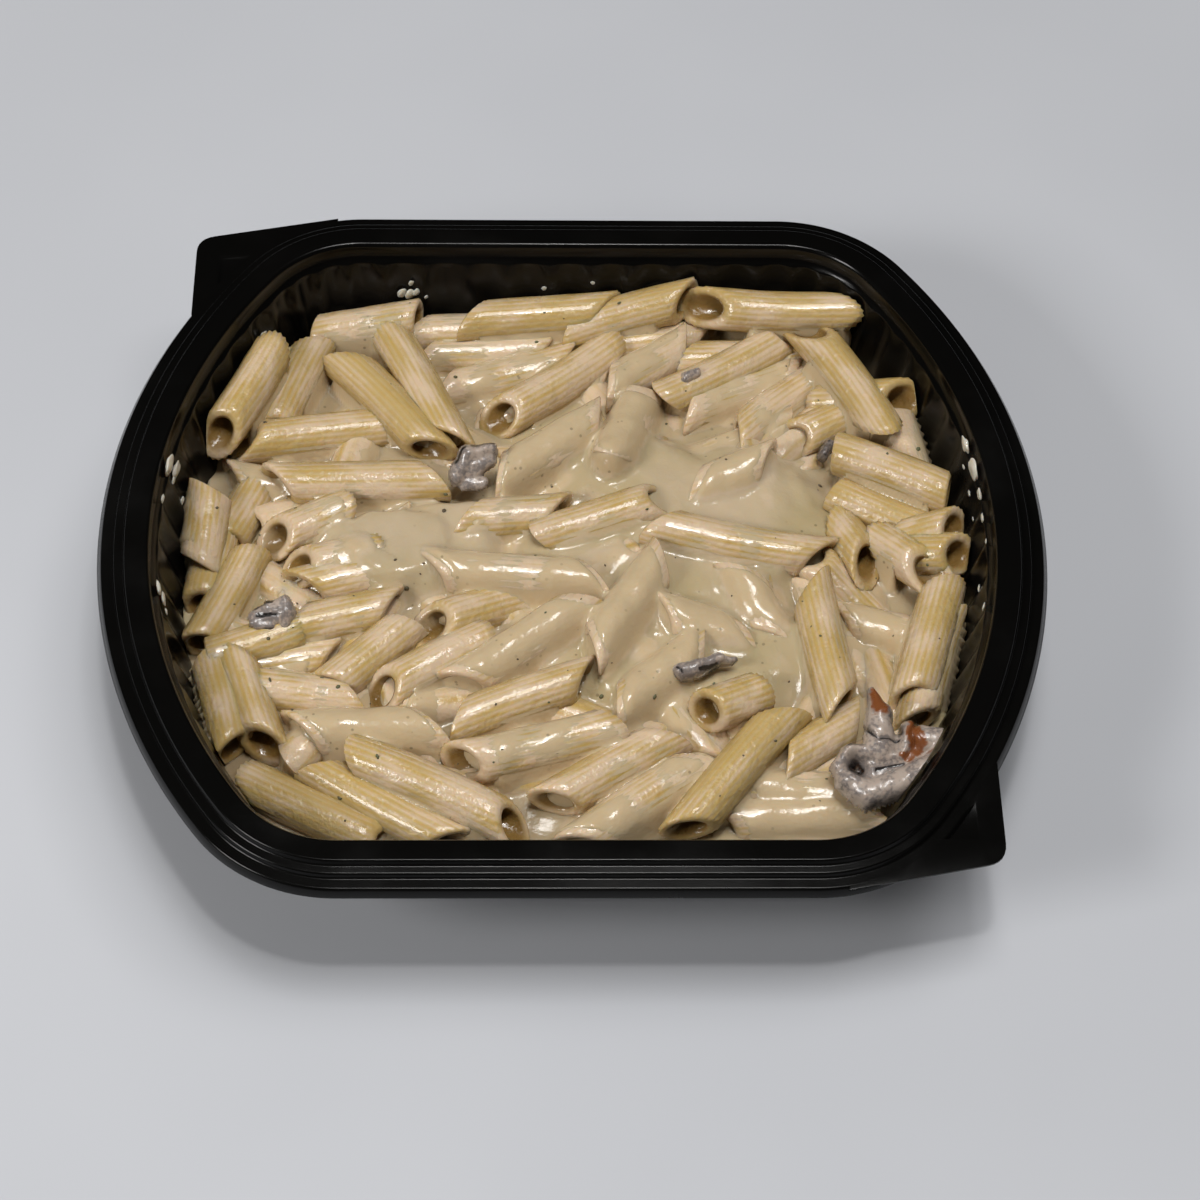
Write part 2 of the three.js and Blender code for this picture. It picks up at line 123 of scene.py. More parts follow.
class Network:
    """The node tree of one material, with one method that adds every node."""

    MIX_INPUTS = (0, 6, 7)  # the colour Mix node's factor and two colours, whose names aren't unique
    MIX_RESULT = 2

    def __init__(self, name: str) -> None:
        """Makes an empty material with its output.

        Args:
            name: The material's name.
        """
        self.material = bpy.data.materials.new(name)
        self.material.use_nodes = True
        self.tree = self.material.node_tree
        self.tree.nodes.clear()
        self.output = self.tree.nodes.new("ShaderNodeOutputMaterial")

    def node(self, kind: str, settings: dict[str, Any], inputs: dict[Any, Any]) -> bpy.types.Node:
        """Adds a node.

        Args:
            kind: The node's type.
            settings: Its properties, which are set first.
            inputs: Values or links by the name or the number of the socket.

        Returns:
            The new node.
        """
        node = self.tree.nodes.new(kind)
        for name, value in settings.items():
            setattr(node, name, value)
        for name, value in inputs.items():
            socket = node.inputs[name]
            source = value.socket if isinstance(value, Amount) else value
            if isinstance(source, bpy.types.NodeSocket):
                self.tree.links.new(source, socket)
            elif socket.type == "RGBA":
                socket.default_value = (*source, 1.0)
            else:
                socket.default_value = source
        return node

    def amount(self, kind: str, settings: dict[str, Any], inputs: dict[Any, Any], output: Any = 0) -> Amount:
        """Adds a node and wraps one of its outputs.

        Args:
            kind: The node's type.
            settings: Its properties.
            inputs: Values or links by socket.
            output: The name or the number of the output.

        Returns:
            The output as an amount.
        """
        return Amount(self, self.node(kind, settings, inputs).outputs[output])

    def place(self, attribute: str | None = None) -> bpy.types.NodeSocket:
        """The vector that patterns are read at.

        Args:
            attribute: The piece's attribute that holds it, if it isn't the Object coordinates.

        Returns:
            The vector.
        """
        if attribute:
            return self.node("ShaderNodeAttribute", {"attribute_name": attribute}, {}).outputs["Vector"]
        return self.node("ShaderNodeTexCoord", {}, {}).outputs["Object"]

    def attribute(self, name: str) -> Amount:
        """A number stored on the piece's points."""
        return self.amount("ShaderNodeAttribute", {"attribute_name": name}, {}, "Fac")

    def stretched(self, vector: bpy.types.NodeSocket, scale: Triple) -> bpy.types.NodeSocket:
        """A vector scaled differently along each axis."""
        return self.node("ShaderNodeMapping", {}, {"Vector": vector, "Scale": scale}).outputs[0]

    def noise(self, vector: bpy.types.NodeSocket, scale: float, detail: float = 3.0) -> Amount:
        """Cloudy noise.

        Args:
            vector: Where it is read.
            scale: How many clouds there are in a metre, or in a unit of the vector.
            detail: How many finer octaves it has.

        Returns:
            The noise, mostly between 0.3 and 0.7.
        """
        inputs = {"Vector": vector, "Scale": scale, "Detail": detail, "Roughness": 0.55}
        return self.amount("ShaderNodeTexNoise", {}, inputs, "Fac")

    def spots(self, vector: bpy.types.NodeSocket, scale: float, size: float) -> Amount:
        """Scattered round spots.

        Args:
            vector: Where they are read.
            scale: How many cells there are in a metre.
            size: The radius of a spot as a share of a cell.

        Returns:
            1 within a spot and 0 outside, with a soft edge.
        """
        inputs = {"Vector": vector, "Scale": scale}
        cells = self.amount("ShaderNodeTexVoronoi", {}, inputs, "Distance")
        return 1.0 - cells.step(size * 0.6, size)

    def mix(self, share: Amount | float, first: Any, second: Any) -> bpy.types.NodeSocket:
        """A colour between two colours, which is the second where the share is 1."""
        inputs = dict(zip(self.MIX_INPUTS, (share, first, second)))
        return self.node("ShaderNodeMix", {"data_type": "RGBA"}, inputs).outputs[self.MIX_RESULT]

    def bump(self, height: Amount, strength: float, distance: float) -> bpy.types.NodeSocket:
        """A normal from a height, whose full size is the distance in metres."""
        inputs = {"Height": height, "Strength": strength, "Distance": distance}
        return self.node("ShaderNodeBump", {}, inputs).outputs[0]

    def finish(self, inputs: dict[str, Any]) -> bpy.types.Material:
        """Ends the material in one Principled shader.

        Args:
            inputs: Values or links of the shader's sockets.

        Returns:
            The material.
        """
        settings = {"subsurface_method": "RANDOM_WALK"}
        shader = self.node("ShaderNodeBsdfPrincipled", settings, inputs)
        self.tree.links.new(shader.outputs[0], self.output.inputs["Surface"])
        return self.material


# ---- finishes -----------------------------------------------------------------------------------


@dataclass(frozen=True)
class TrayPlastic:
    """Glossy black thermoformed sheet, a little hazy, with faint smears."""

    base: Colour = (0.0025, 0.0024, 0.0022)
    haze: Colour = (0.0055, 0.0053, 0.005)
    gloss: float = 0.16
    smear: float = 0.10

    def material(self) -> bpy.types.Material:
        """Builds the plastic.

        Returns:
            The material.
        """
        net = Network("tray_plastic")
        place = net.place()
        clouds = net.noise(place, 24.0, 4.0)
        grain = net.noise(place, 900.0, 2.0)
        smears = clouds.step(0.45, 0.72)
        return net.finish({
            "Base Color": net.mix(smears * 0.6, self.base, self.haze),
            "Roughness": smears * self.smear + grain * 0.05 + self.gloss,
            "IOR": 1.5,
            "Specular IOR Level": 0.22,
            "Normal": net.bump(net.noise(place, 60.0, 2.0) + grain * 0.05, 0.04, 0.001),
        })


@dataclass(frozen=True)
class Pasta:
    """Cooked penne under a film of sauce that lies thicker in some places than in others, with painted shade
    inside their bores.
    """

    bare: Colour = (0.48, 0.32, 0.085)
    pale: Colour = (0.545, 0.415, 0.225)
    film: Colour = (0.67, 0.52, 0.37)
    # painted shade inside the hollow bore, where no sauce fills it
    bore: Colour = (0.24, 0.14, 0.04)
    filled: Colour = (0.42, 0.31, 0.18)

    def material(self) -> bpy.types.Material:
        """Builds the pasta's surface.

        Returns:
            The material.
        """
        net = Network("pasta")
        place = net.place()
        own = net.place("own")
        streaks = net.noise(net.stretched(own, (0.26, 0.26, 0.05)), 1.0, 3.0)
        lines = net.noise(net.stretched(own, (2.4, 2.4, 0.05)), 1.0, 2.0)
        blots = net.noise(place, 110.0, 3.0)
        grooves = (net.attribute("valley") - 0.5) * 0.45
        cover = net.attribute("coat") + (streaks - 0.5) * 1.6 + (blots - 0.5) * 0.8 + grooves
        cover = cover.step(0.1, 0.85)
        tone = (lines - 0.5) * 0.4 + (streaks - 0.5) * 0.8 + (net.attribute("valley") - 0.5) * 0.5 + 0.5
        wet = net.mix(tone.clamp(), self.bare, self.pale)
        skin = net.mix(cover * 0.86, wet, self.film)
        # painted shade in the bore, which takes the sauce's colour where the piece is well coated
        inside = net.mix(net.attribute("coat").step(0.5, 0.95), self.bore, self.filled)
        color = net.mix(net.attribute("bore"), skin, inside)
        fine = net.noise(place, 700.0, 2.0)
        lumps = net.noise(place, 280.0, 2.0)
        return net.finish({
            "Base Color": color,
            "Roughness": 0.30 - cover * 0.10 + (fine - 0.5) * 0.12,
            "Subsurface Weight": 0.35,
            "Subsurface Radius": (1.0, 0.55, 0.25),
            "Subsurface Scale": 0.0022,
            "Coat Weight": 0.45,
            "Coat Roughness": 0.06,
            "IOR": 1.42,
            "Normal": net.bump(fine * 0.5 + blots * 0.8 + lumps * 1.0, 0.4, 0.0013),
        })


@dataclass(frozen=True)
class CreamSauce:
    """Thick glossy sauce, peach-cream where it is deep and thin over the pasta elsewhere, with painted shade
    where it lies deep between the penne and where it closes a bore.
    """

    name: str = "cream_sauce"
    deep: Colour = (0.592, 0.472, 0.337)
    dull: Colour = (0.43, 0.345, 0.19)
    thin: Colour = (0.55, 0.425, 0.25)
    speck: Colour = (0.16, 0.13, 0.07)
    # painted shade: the dark colour that deep gaps and closed bores are painted
    gap: Colour = (0.17, 0.115, 0.055)

    def material(self) -> bpy.types.Material:
        """Builds the sauce's surface.

        Returns:
            The material.
        """
        net = Network(self.name)
        place = net.place()
        clouds = net.noise(place, 32.0, 3.0)
        curds = net.noise(place, 240.0, 3.0)
        fine = net.noise(place, 900.0, 2.0)
        veil = (clouds - 0.5) * 1.2 + net.attribute("open") * 0.62
        body = net.mix(veil.step(0.1, 1.0), self.deep, self.dull)
        over = net.mix((net.attribute("film") + (curds - 0.5) * 0.6).step(0.2, 0.9) * 0.75, body, self.thin)
        # painted shade: sauce deep below the penne's tops, and sheet closing a bore, is darkened towards the
        # gap colour
        over = net.mix(net.attribute("low").step(0.55, 1.0) * 0.85, over, self.gap)
        specks = net.spots(place, 330.0, 0.16) * net.noise(place, 60.0, 1.0).step(0.45, 0.6)
        return net.finish({
            "Base Color": net.mix(specks * 0.55, over, self.speck),
            "Roughness": 0.2 + (curds - 0.5) * 0.12,
            "Subsurface Weight": 0.4,
            "Subsurface Radius": (1.0, 0.62, 0.35),
            "Subsurface Scale": 0.003,
            "Coat Weight": 0.5,
            "Coat Roughness": 0.05,
            "IOR": 1.42,
            "Normal": net.bump(curds * 0.7 + fine * 0.15, 0.35, 0.0012),
        })


@dataclass(frozen=True)
class Herb:
    """Dark green and brown flecks of herb and pepper."""

    leaf: Colour = (0.12, 0.125, 0.06)
    pepper: Colour = (0.10, 0.075, 0.045)

    def material(self) -> bpy.types.Material:
        """Builds the flecks' surface.

        Returns:
            The material.
        """
        net = Network("herb")
        place = net.place()
        return net.finish({
            "Base Color": net.mix(net.noise(place, 90.0, 1.0).step(0.42, 0.58), self.leaf, self.pepper),
            "Roughness": 0.45 + net.noise(place, 800.0) * 0.2,
        })


@dataclass(frozen=True)
class MushroomFlesh:
    """Cooked mushroom: greyish flesh with browned patches, and painted shade in its folds and over whole
    pieces.
    """

    flesh: Colour = (0.42, 0.345, 0.29)
    dull: Colour = (0.21, 0.18, 0.165)
    browned: Colour = (0.20, 0.066, 0.02)
    crease_shade: Colour = (0.016, 0.013, 0.012)

    def material(self) -> bpy.types.Material:
        """Builds the mushroom's surface.

        Returns:
            The material.
        """
        net = Network("mushroom")
        own = net.place("own")
        clouds = net.noise(own, 0.28, 3.0)
        fibres = net.noise(own, 1.1, 4.0)
        # painted shade: creases and shaded pieces are painted duller, and nearly black in the folds
        painted_shade = net.attribute("painted_shade")
        base = net.mix((clouds + (fibres - 0.5) * 0.7 - painted_shade * 0.35).step(0.3, 0.6), self.dull, self.flesh)
        brown = (net.attribute("brown") * 1.3 + (fibres - 0.5) * 1.4).step(0.35, 0.85)
        crease_shade_mask = (painted_shade + (fibres - 0.5) * 0.9).step(0.5, 0.95)
        return net.finish({
            "Base Color": net.mix(crease_shade_mask, net.mix(brown, base, self.browned), self.crease_shade),
            "Roughness": 0.3 + (clouds - 0.5) * 0.25,
            "Subsurface Weight": 0.2,
            "Subsurface Radius": (1.0, 0.6, 0.45),
            "Subsurface Scale": 0.0012,
            "Coat Weight": 0.4,
            "Coat Roughness": 0.1,
            "Normal": net.bump(fibres, 0.2, 0.0005),
        })


@dataclass(frozen=True)
class Tabletop:
    """Plain pale matt table."""

    pale: Colour = (0.548, 0.563, 0.598)
    shade: Colour = (0.523, 0.538, 0.573)

    def material(self) -> bpy.types.Material:
        """Builds the table's surface.

        Returns:
            The material.
        """
        net = Network("tabletop")
        clouds = net.noise(net.place(), 5.0, 3.0)
        return net.finish({
            "Base Color": net.mix(clouds.step(0.35, 0.65), self.pale, self.shade),
            "Roughness": 0.6 + clouds * 0.1,
        })


# ---- mesh helpers -------------------------------------------------------------------------------


class Slot(Enum):
    """The record's material slots."""

    TRAY = "tray_plastic"
    PASTA = "pasta"
    SAUCE = "sauce"
    MUSHROOM = "mushroom"


class Workpiece:
    """A bmesh in millimetres that ends as one object in metres, with its place in its mesh."""

    def __init__(self, name: str) -> None:
        """Starts an empty piece."""
        self.name = name
        self.bm = bmesh.new()

    def start_ring(self, points: Iterable[Vector]) -> list[bmesh.types.BMVert]:
        """A closed ring of edges to extrude from.

        Args:
            points: The ring's points in order.

        Returns:
            Its points in the mesh.
        """
        verts = [self.bm.verts.new(p) for p in points]
        for a, b in zip(verts, verts[1:] + verts[:1]):
            self.bm.edges.new((a, b))
        return verts

    def next_ring(self, ring: list[bmesh.types.BMVert], points: Sequence[Vector]) -> list[bmesh.types.BMVert]:
        """Extrudes a ring and moves the new points into place.

        Args:
            ring: The ring that is extruded.
            points: Where its points go, in the same order.

        Returns:
            The new ring.
        """
        made = bmesh.ops.extrude_edge_only(self.bm, edges=self.ring_edges(ring))["geom"]
        fresh = {v for v in made if isinstance(v, bmesh.types.BMVert)}
        ahead = [next(v for e in vert.link_edges for v in e.verts if v in fresh) for vert in ring]
        for new, point in zip(ahead, points):
            new.co = point
        return ahead

    def ring_edges(self, ring: list[bmesh.types.BMVert]) -> list[bmesh.types.BMEdge]:
        """The edges of a closed ring in order."""
        return [self.bm.edges.get((a, b)) for a, b in zip(ring, ring[1:] + ring[:1])]

    def close_ring(self, ring: list[bmesh.types.BMVert]) -> None:
        """Fills a ring with one face."""
        bmesh.ops.contextual_create(self.bm, geom=ring)

    def number(self, name: str) -> Any:
        """The layer of a number on the points, made if it is missing."""
        layers = self.bm.verts.layers.float
        return layers.get(name) or layers.new(name)

    def finish(
        self,
        material: bpy.types.Material,
        slot: Slot,
        replaces: Sequence[str] = (),
        fix_normals: bool = False,
    ) -> bpy.types.Object:
        """Turns the piece into an object of the scene.

        Args:
            material: Its finish.
            slot: The record's material slot; not used.
            replaces: The CAD nodes that it stands for.
            fix_normals: Whether its faces are turned outwards.

        Returns:
            The object.
        """
        if fix_normals:
            bmesh.ops.recalc_face_normals(self.bm, faces=self.bm.faces)
        bmesh.ops.scale(self.bm, vec=(MM, MM, MM), verts=self.bm.verts)
        for face in self.bm.faces:
            face.smooth = True
        mesh = bpy.data.meshes.new(self.name)
        self.bm.to_mesh(mesh)
        self.bm.free()
        mesh.materials.append(material)
        piece = bpy.data.objects.new(self.name, mesh)
        bpy.context.scene.collection.objects.link(piece)
        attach(piece, BODY)
        if replaces:
            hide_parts(*replaces)
        return piece


def smooth_max(a: np.ndarray, b: np.ndarray, width: float) -> np.ndarray:
    """The larger of two heights, with a fillet of about that width where they cross."""
    top = np.maximum(a, b)
    return top + width * np.log(np.exp((a - top) / width) + np.exp((b - top) / width))


def outwards(place: Vector) -> Vector:
    """The level direction from a place towards the nearest wall, more or less."""
    return Vector((place.x, place.y * 1.2, 0)).normalized()


def lump(x: float, y: float, z: float, size: float) -> float:
    """Smooth noise between about -1 and 1, with lumps of that size."""
    return noise.noise(Vector((x, y, z)) / size)


# ---- the tray -----------------------------------------------------------------------------------


@dataclass
class Tray:
    """The thermoformed tray: its outline, fluted wall, stepped rim and two corner pull tabs."""

    width: float = 227.0
    depth: float = 202.0
    height: float = 40.0
    end_radius: float = 141.7
    corner_radius: float = 39.7
    sheet: float = 0.9
    wall_inset: float = 14.2
    wall_drop: float = 4.6
    draft: float = math.radians(13)
    corner_height: float = 7.0
    flute_depth: float = 1.1
    flute_fade: float = 2.4
    foot_width: float = 8.5
    foot_slope: float = 1.6
    panel_rise: float = 1.2
    flutes: tuple[int, int, int] = (8, 3, 5)  # along half an end, a corner and half a side
    flute_points: int = 8
    wall_shares: tuple[float, ...] = (0.0, 0.06, 0.14, 0.35, 0.6, 0.8, 0.92, 0.97, 1.0)
    bend_inside: tuple[float, float] = (5.5, 6.1)  # width and height of the bend from foot to wall
    bend_outside: tuple[float, float] = (5.8, 7.0)
    bend_flute: float = 0.3  # how strong the flutes are where the wall begins
    bend_angles: tuple[float, ...] = (0.35, 0.7, 1.05, 1.35)
    under_foot: float = 0.5  # how far the underside's corners lie beside those of the inside
    under_panel: float = 0.4
    flange_drop: float = 2.7
    tab_drop: float = 3.7
    edge: float = 0.35  # how far the rim's edges are rounded
    rim_top: tuple[tuple[float, float], ...] = (
        (12.9, 3.9), (12.7, 0.8), (12.0, 0.0), (6.9, 0.0), (6.3, 1.3),
        (4.3, 1.4), (3.8, 2.6), (1.2, 2.7), (0.0, 4.8),
    )
    rim_under: tuple[tuple[float, float], ...] = (
        (0.8, 4.8), (1.8, 3.6), (4.6, 3.5), (7.1, 2.2), (7.7, 0.9), (11.6, 0.9), (11.9, 4.8),
    )
    finish: TrayPlastic = TrayPlastic()

    def inset_at_wall(self, z: float) -> float:
        """How far the inner wall lies inside the outer outline at a height."""
        return self.wall_inset + (self.height - self.wall_drop - z) * math.tan(self.draft)

    def corner(self) -> tuple[float, float, float, float]:
        """Works out where the corner fillet lies.

        Returns:
            Its centre, x and y, the end arc's centre x, and the angle where the two arcs meet.
        """
        end_centre = self.width / 2 - self.end_radius
        across = self.depth / 2 - self.corner_radius
        between = self.end_radius - self.corner_radius
        along = math.sqrt(between ** 2 - across ** 2)
        return end_centre + along, across, end_centre, math.atan2(across, along)

    def quarter(self, inset: float, finer: int) -> list[tuple[float, float]]:
        """The outline's first quarter, moved inwards, from the middle of the right end.

        Args:
            inset: How far it is moved.
            finer: The number of points to a flute.

        Returns:
            Its points.
        """
        corner_x, across, end_centre, turn = self.corner()
        ends, corners, sides = (n * finer for n in self.flutes)
        radius = self.end_radius - inset
        points = []
        for i in range(ends):
            angle = turn * i / ends
            points.append((end_centre + radius * math.cos(angle), radius * math.sin(angle)))
        radius = self.corner_radius - inset
        for i in range(corners):
            angle = turn + (math.pi / 2 - turn) * i / corners
            points.append((corner_x + radius * math.cos(angle), across + radius * math.sin(angle)))
        side = self.depth / 2 - inset
        points.extend((corner_x * (1 - i / sides), side) for i in range(sides + 1))
        return points

    def outline(self, inset: float, finer: int) -> list[tuple[float, float]]:
        """The whole outline moved inwards, anticlockwise.

        Args:
            inset: How far it is moved.
            finer: The number of points to a flute.

        Returns:
            Its points.
        """
        quarter = self.quarter(inset, finer)
        half = quarter + [(-x, y) for x, y in reversed(quarter[:-1])]
        return half + [(x, -y) for x, y in reversed(half[1:-1])]

    def inset_of(self, x: float, y: float) -> float:
        """How far a place lies inside the outer outline.

        Args:
            x: The place along X.
            y: The place along Y.

        Returns:
            The distance.
        """
        corner_x, across, end_centre, turn = self.corner()
        x, y = abs(x), abs(y)
        if math.atan2(y, x - end_centre) <= turn:
            return self.end_radius - math.hypot(x - end_centre, y)
        if x > corner_x:
            return self.corner_radius - math.hypot(x - corner_x, y - across)
        return self.depth / 2 - y

    def press_inside(self, verts: Iterable[bmesh.types.BMVert], gap: float) -> None:
        """Presses what would reach into the wall flat against it.

        Args:
            verts: The points of the thing that lies against the wall.
            gap: The room left between the two.
        """
        for vert in verts:
            inside = self.inset_of(vert.co.x, vert.co.y)
            height = min(vert.co.z, self.height - self.wall_drop)
            wall = self.inset_at_wall(height) + self.flute_depth / 2 + gap
            if inside < wall:
                vert.co -= outwards(vert.co) * (wall - inside)

    def row(self, inset: float, z: float, flute: float = 0.0) -> list[Vector]:
        """One row of the tray's shell.

        Args:
            inset: How far it lies inside the outer outline.
            z: Its height.
            flute: How strong the flutes are there, from 0 to 1.

        Returns:
            Its points.
        """
        finer = self.flute_points
        inner = self.outline(inset + 1.0, finer)
        outer = self.outline(inset - 1.0, finer)
        points = []
        for i, (a, b) in enumerate(zip(inner, outer)):
            wave = self.flute_depth / 2 * flute * math.cos(2 * math.pi * i / finer)
            share = (1 + wave) / 2
            points.append(Vector((a[0] + (b[0] - a[0]) * share, a[1] + (b[1] - a[1]) * share, z)))
        return points

    def rounded(self, steps: Sequence[tuple[float, float]]) -> list[tuple[float, float]]:
        """Turns each inner corner of a stepped profile into a small arc.

        Args:
            steps: The profile as insets and drops.

        Returns:
            The softer profile.
        """
        points = [steps[0]]
        for before, here, after in zip(steps, steps[1:], steps[2:]):
            corner = Vector(here)
            back = Vector(before) - corner
            ahead = Vector(after) - corner
            cut = min(self.edge, back.length * 0.45, ahead.length * 0.45)
            a = corner + back.normalized() * cut
            b = corner + ahead.normalized() * cut
            points.append(tuple(a))
            points.append(tuple(corner * 0.5 + (a + b) * 0.25))
            points.append(tuple(b))
        points.append(steps[-1])
        return points

    def wall_rows(self, shift: float) -> list[list[Vector]]:
        """The rows up one side of the fluted wall.

        Args:
            shift: How far they are moved outwards.

        Returns:
            The rows from the bottom up.
        """
        top = self.height - self.wall_drop
        rows = []
        for share in self.wall_shares:
            z = self.corner_height + (top - self.corner_height) * share
            fade = min(1.0, (top - z) / self.flute_fade)
            fade *= min(1.0, self.bend_flute + (z - self.corner_height) / 4)
            strength = fade * fade * (3 - 2 * fade)
            rows.append(self.row(self.inset_at_wall(z) - shift, z, strength))
        return rows

    def rim_rows(self, steps: Sequence[tuple[float, float]]) -> list[list[Vector]]:
        """The rows over one side of the stepped rim."""
        return [self.row(inset, self.height - drop) for inset, drop in self.rounded(steps)]

    def bend_rows(self, inset: float, z: float, size: tuple[float, float]) -> list[list[Vector]]:
        """The rows round one side of the bend from the foot to the wall.

        Args:
            inset: The inset at its top.
            z: The height of its bottom.
            size: Its width and height.

        Returns:
            The rows from the bottom up.
        """
        rows = []
        for angle in self.bend_angles:
            rise = size[1] * (1 - math.cos(angle))
            flute = self.bend_flute * math.sin(angle)
            rows.append(self.row(inset + size[0] * (1 - math.sin(angle)), z + rise, flute))
        return rows

    def shell_rows(self) -> list[list[Vector]]:
        """All rows of the shell.

        Returns:
            The rows from the middle of its inside to the middle of its underside.
        """
        low = self.inset_at_wall(self.corner_height)
        foot = low + self.bend_inside[0]
        panel = foot + self.foot_width
        rows = [
            self.row(panel + self.foot_slope, self.sheet + self.panel_rise),
            self.row(panel, self.sheet),
            self.row(foot, self.sheet),
        ]
        rows += self.bend_rows(low, self.sheet, self.bend_inside)
        rows += self.wall_rows(0)
        rows += self.rim_rows(self.rim_top)
        rows += self.rim_rows(self.rim_under)
        rows += reversed(self.wall_rows(self.sheet))
        rows += reversed(self.bend_rows(low - self.sheet, 0, self.bend_outside))
        rows += [
            self.row(foot - self.under_foot, 0),
            self.row(panel + self.under_panel, 0),
            self.row(panel + self.foot_slope + self.under_panel, self.panel_rise),
        ]
        return rows

    def build(self) -> bpy.types.Object:
        """Builds the tray with its tabs.

        Returns:
            The object.
        """
        piece = Workpiece("meal_tray")
        rows = self.shell_rows()
        ring = piece.start_ring(rows[0])
        piece.close_ring(ring)
        for points in rows[1:]:
            ring = piece.next_ring(ring, points)
        piece.close_ring(ring)
        for turn in (0.0, math.pi):
            PullTab(self).build(piece, turn)
        tray = piece.finish(self.finish.material(), Slot.TRAY, ["tray"], fix_normals=True)
        tray.modifiers.new("even_shading", "WEIGHTED_NORMAL").keep_sharp = True
        return tray


@dataclass
class PullTab:
    """A corner pull tab: a flat sheet with a lower lip and a pressed three-cornered mark."""

    tray: Tray
    start: tuple[float, float] = (-60.0, 99.9)
    corner: tuple[float, float] = (-95.7, 92.7)
    end: tuple[float, float] = (-95.7, 67.0)
    corner_radius: float = 4.5
    root: float = 4.6  # how far inside the tray's outline its hidden side runs
    lip_width: float = 1.9
    lip_slope: float = 0.35
    mark: tuple[float, float] = (9.0, 10.5)
    mark_inset: float = 5.6
    mark_slope: float = 0.7
    mark_depth: float = 1.0
    corner_steps: int = 6
    sunk: float = 0.03  # how far its top lies under the flange's

    def outline(self) -> list[tuple[float, float]]:
        """The tab's outline.

        Returns:
            Its points, round its corner and back along a line inside the tray's flange.
        """
        corner = Vector(self.corner)
        to_start = (Vector(self.start) - corner).normalized()
        to_end = (Vector(self.end) - corner).normalized()
        points = [self.start]
        for i in range(self.corner_steps + 1):
            share = i / self.corner_steps
            a = corner + to_start * self.corner_radius * (1 - share) ** 2
            points.append(tuple(a + to_end * self.corner_radius * share ** 2))
        points.append(self.end)
        root = [p for p in self.tray.outline(self.root, 4) if p[0] < 0 < p[1]]
        inner = [p for p in root if p[0] < self.start[0] - 1 and p[1] > self.end[1] - 1]
        return points + list(reversed(inner))

    def build(self, piece: Workpiece, turn: float) -> None:
        """Adds the tab to the tray.

        Args:
            piece: The tray's mesh.
            turn: The angle that it is turned by round the tray's middle.
        """
        bm = piece.bm
        low = self.tray.height - self.tray.tab_drop
        verts = [bm.verts.new((x, y, low)) for x, y in self.outline()]
        face = bm.faces.new(verts)
        rise = self.tray.tab_drop - self.tray.flange_drop - self.sunk
        for width in (self.lip_width, self.lip_slope):
            bmesh.ops.inset_region(bm, faces=[face], thickness=width, use_even_offset=True)
        bmesh.ops.translate(bm, vec=(0, 0, rise), verts=face.verts)
        pressed = self._press_mark(bm, set(self._connected(face)), low + rise)
        shell = self._connected(pressed[0])
        bmesh.ops.recalc_face_normals(bm, faces=shell)
        if sum(f.normal.z for f in shell) < 0:
            bmesh.ops.reverse_faces(bm, faces=shell)
        bmesh.ops.solidify(bm, geom=shell, thickness=self.tray.sheet)
        whole = {v for f in self._connected(pressed[0]) for v in f.verts}
        bmesh.ops.rotate(bm, verts=list(whole), cent=(0, 0, 0), matrix=Matrix.Rotation(turn, 3, "Z"))

    def _press_mark(self, bm: bmesh.types.BMesh, plate: set, top: float) -> list[bmesh.types.BMFace]:
        """Cuts the mark's outline into the plate and presses it down.

        Args:
            bm: The tray's mesh.
            plate: The tab's faces.
            top: The height of the plate.

        Returns:
            The faces of the pressed mark.
        """
        square = Vector((self.corner[0] + self.mark_inset, self.corner[1] - self.mark_inset, top))
        beside = square + Vector((self.mark[0], 0, 0))
        below = square - Vector((0, self.mark[1], 0))
        for a, b in ((square, below), (below, beside), (beside, square)):
            across = (a.y - b.y, b.x - a.x, 0)
            geom = list({e for f in plate if f.is_valid for e in (f, *f.edges, *f.verts)})
            cut = bmesh.ops.bisect_plane(bm, geom=geom, plane_co=a, plane_no=across, dist=1e-4)
            plate |= {g for g in cut["geom"] if isinstance(g, bmesh.types.BMFace)}
        middle = (square + below + beside) / 3
        whole = [f for f in plate if f.is_valid]
        pressed = [f for f in whole if (f.calc_center_median() - middle).length < min(self.mark) / 6]
        bmesh.ops.inset_region(bm, faces=pressed, thickness=self.mark_slope)
        verts = {v for f in pressed for v in f.verts}
        bmesh.ops.translate(bm, vec=(0, 0, -self.mark_depth), verts=list(verts))
        return pressed

    @staticmethod
    def _connected(face: bmesh.types.BMFace) -> list[bmesh.types.BMFace]:
        """Every face that hangs together with one face.

        Args:
            face: The face.

        Returns:
            The faces, that one among them.
        """
        seen = {face}
        queue = [face]
        while queue:
            for edge in queue.pop().edges:
                for other in edge.link_faces:
                    if other not in seen:
                        seen.add(other)
                        queue.append(other)
        return list(seen)


# ---- the penne ----------------------------------------------------------------------------------


@dataclass(frozen=True)
class Penne:
    """How one piece of penne lies, from the place of its middle."""

    x: float
    y: float
    z: float
    turn: float  # degrees from +X, from the end that shows towards the other
    rise: float = 0.0  # degrees that the far end lies higher
    coat: float = 0.5  # how much sauce covers it, from 0 to 1
    roll: float = 90.0  # degrees from the top to the side that the first end is cut back on
    length: float = 40.0
    cut: float = 42.0  # degrees between the ends and a square cut
    bend: float = 0.8


@dataclass
class Placed:
    """A piece of penne in place: its middle, its own axes and its sizes."""

    middle: Vector
    along: Vector
    side: Vector
    back: Vector
    penne: Penne

    def to_world(self, local: Vector) -> Vector:
        """The place of a point given in the piece's own axes: side, back and along."""
        return self.middle + self.side * local.x + self.back * local.y + self.along * local.z


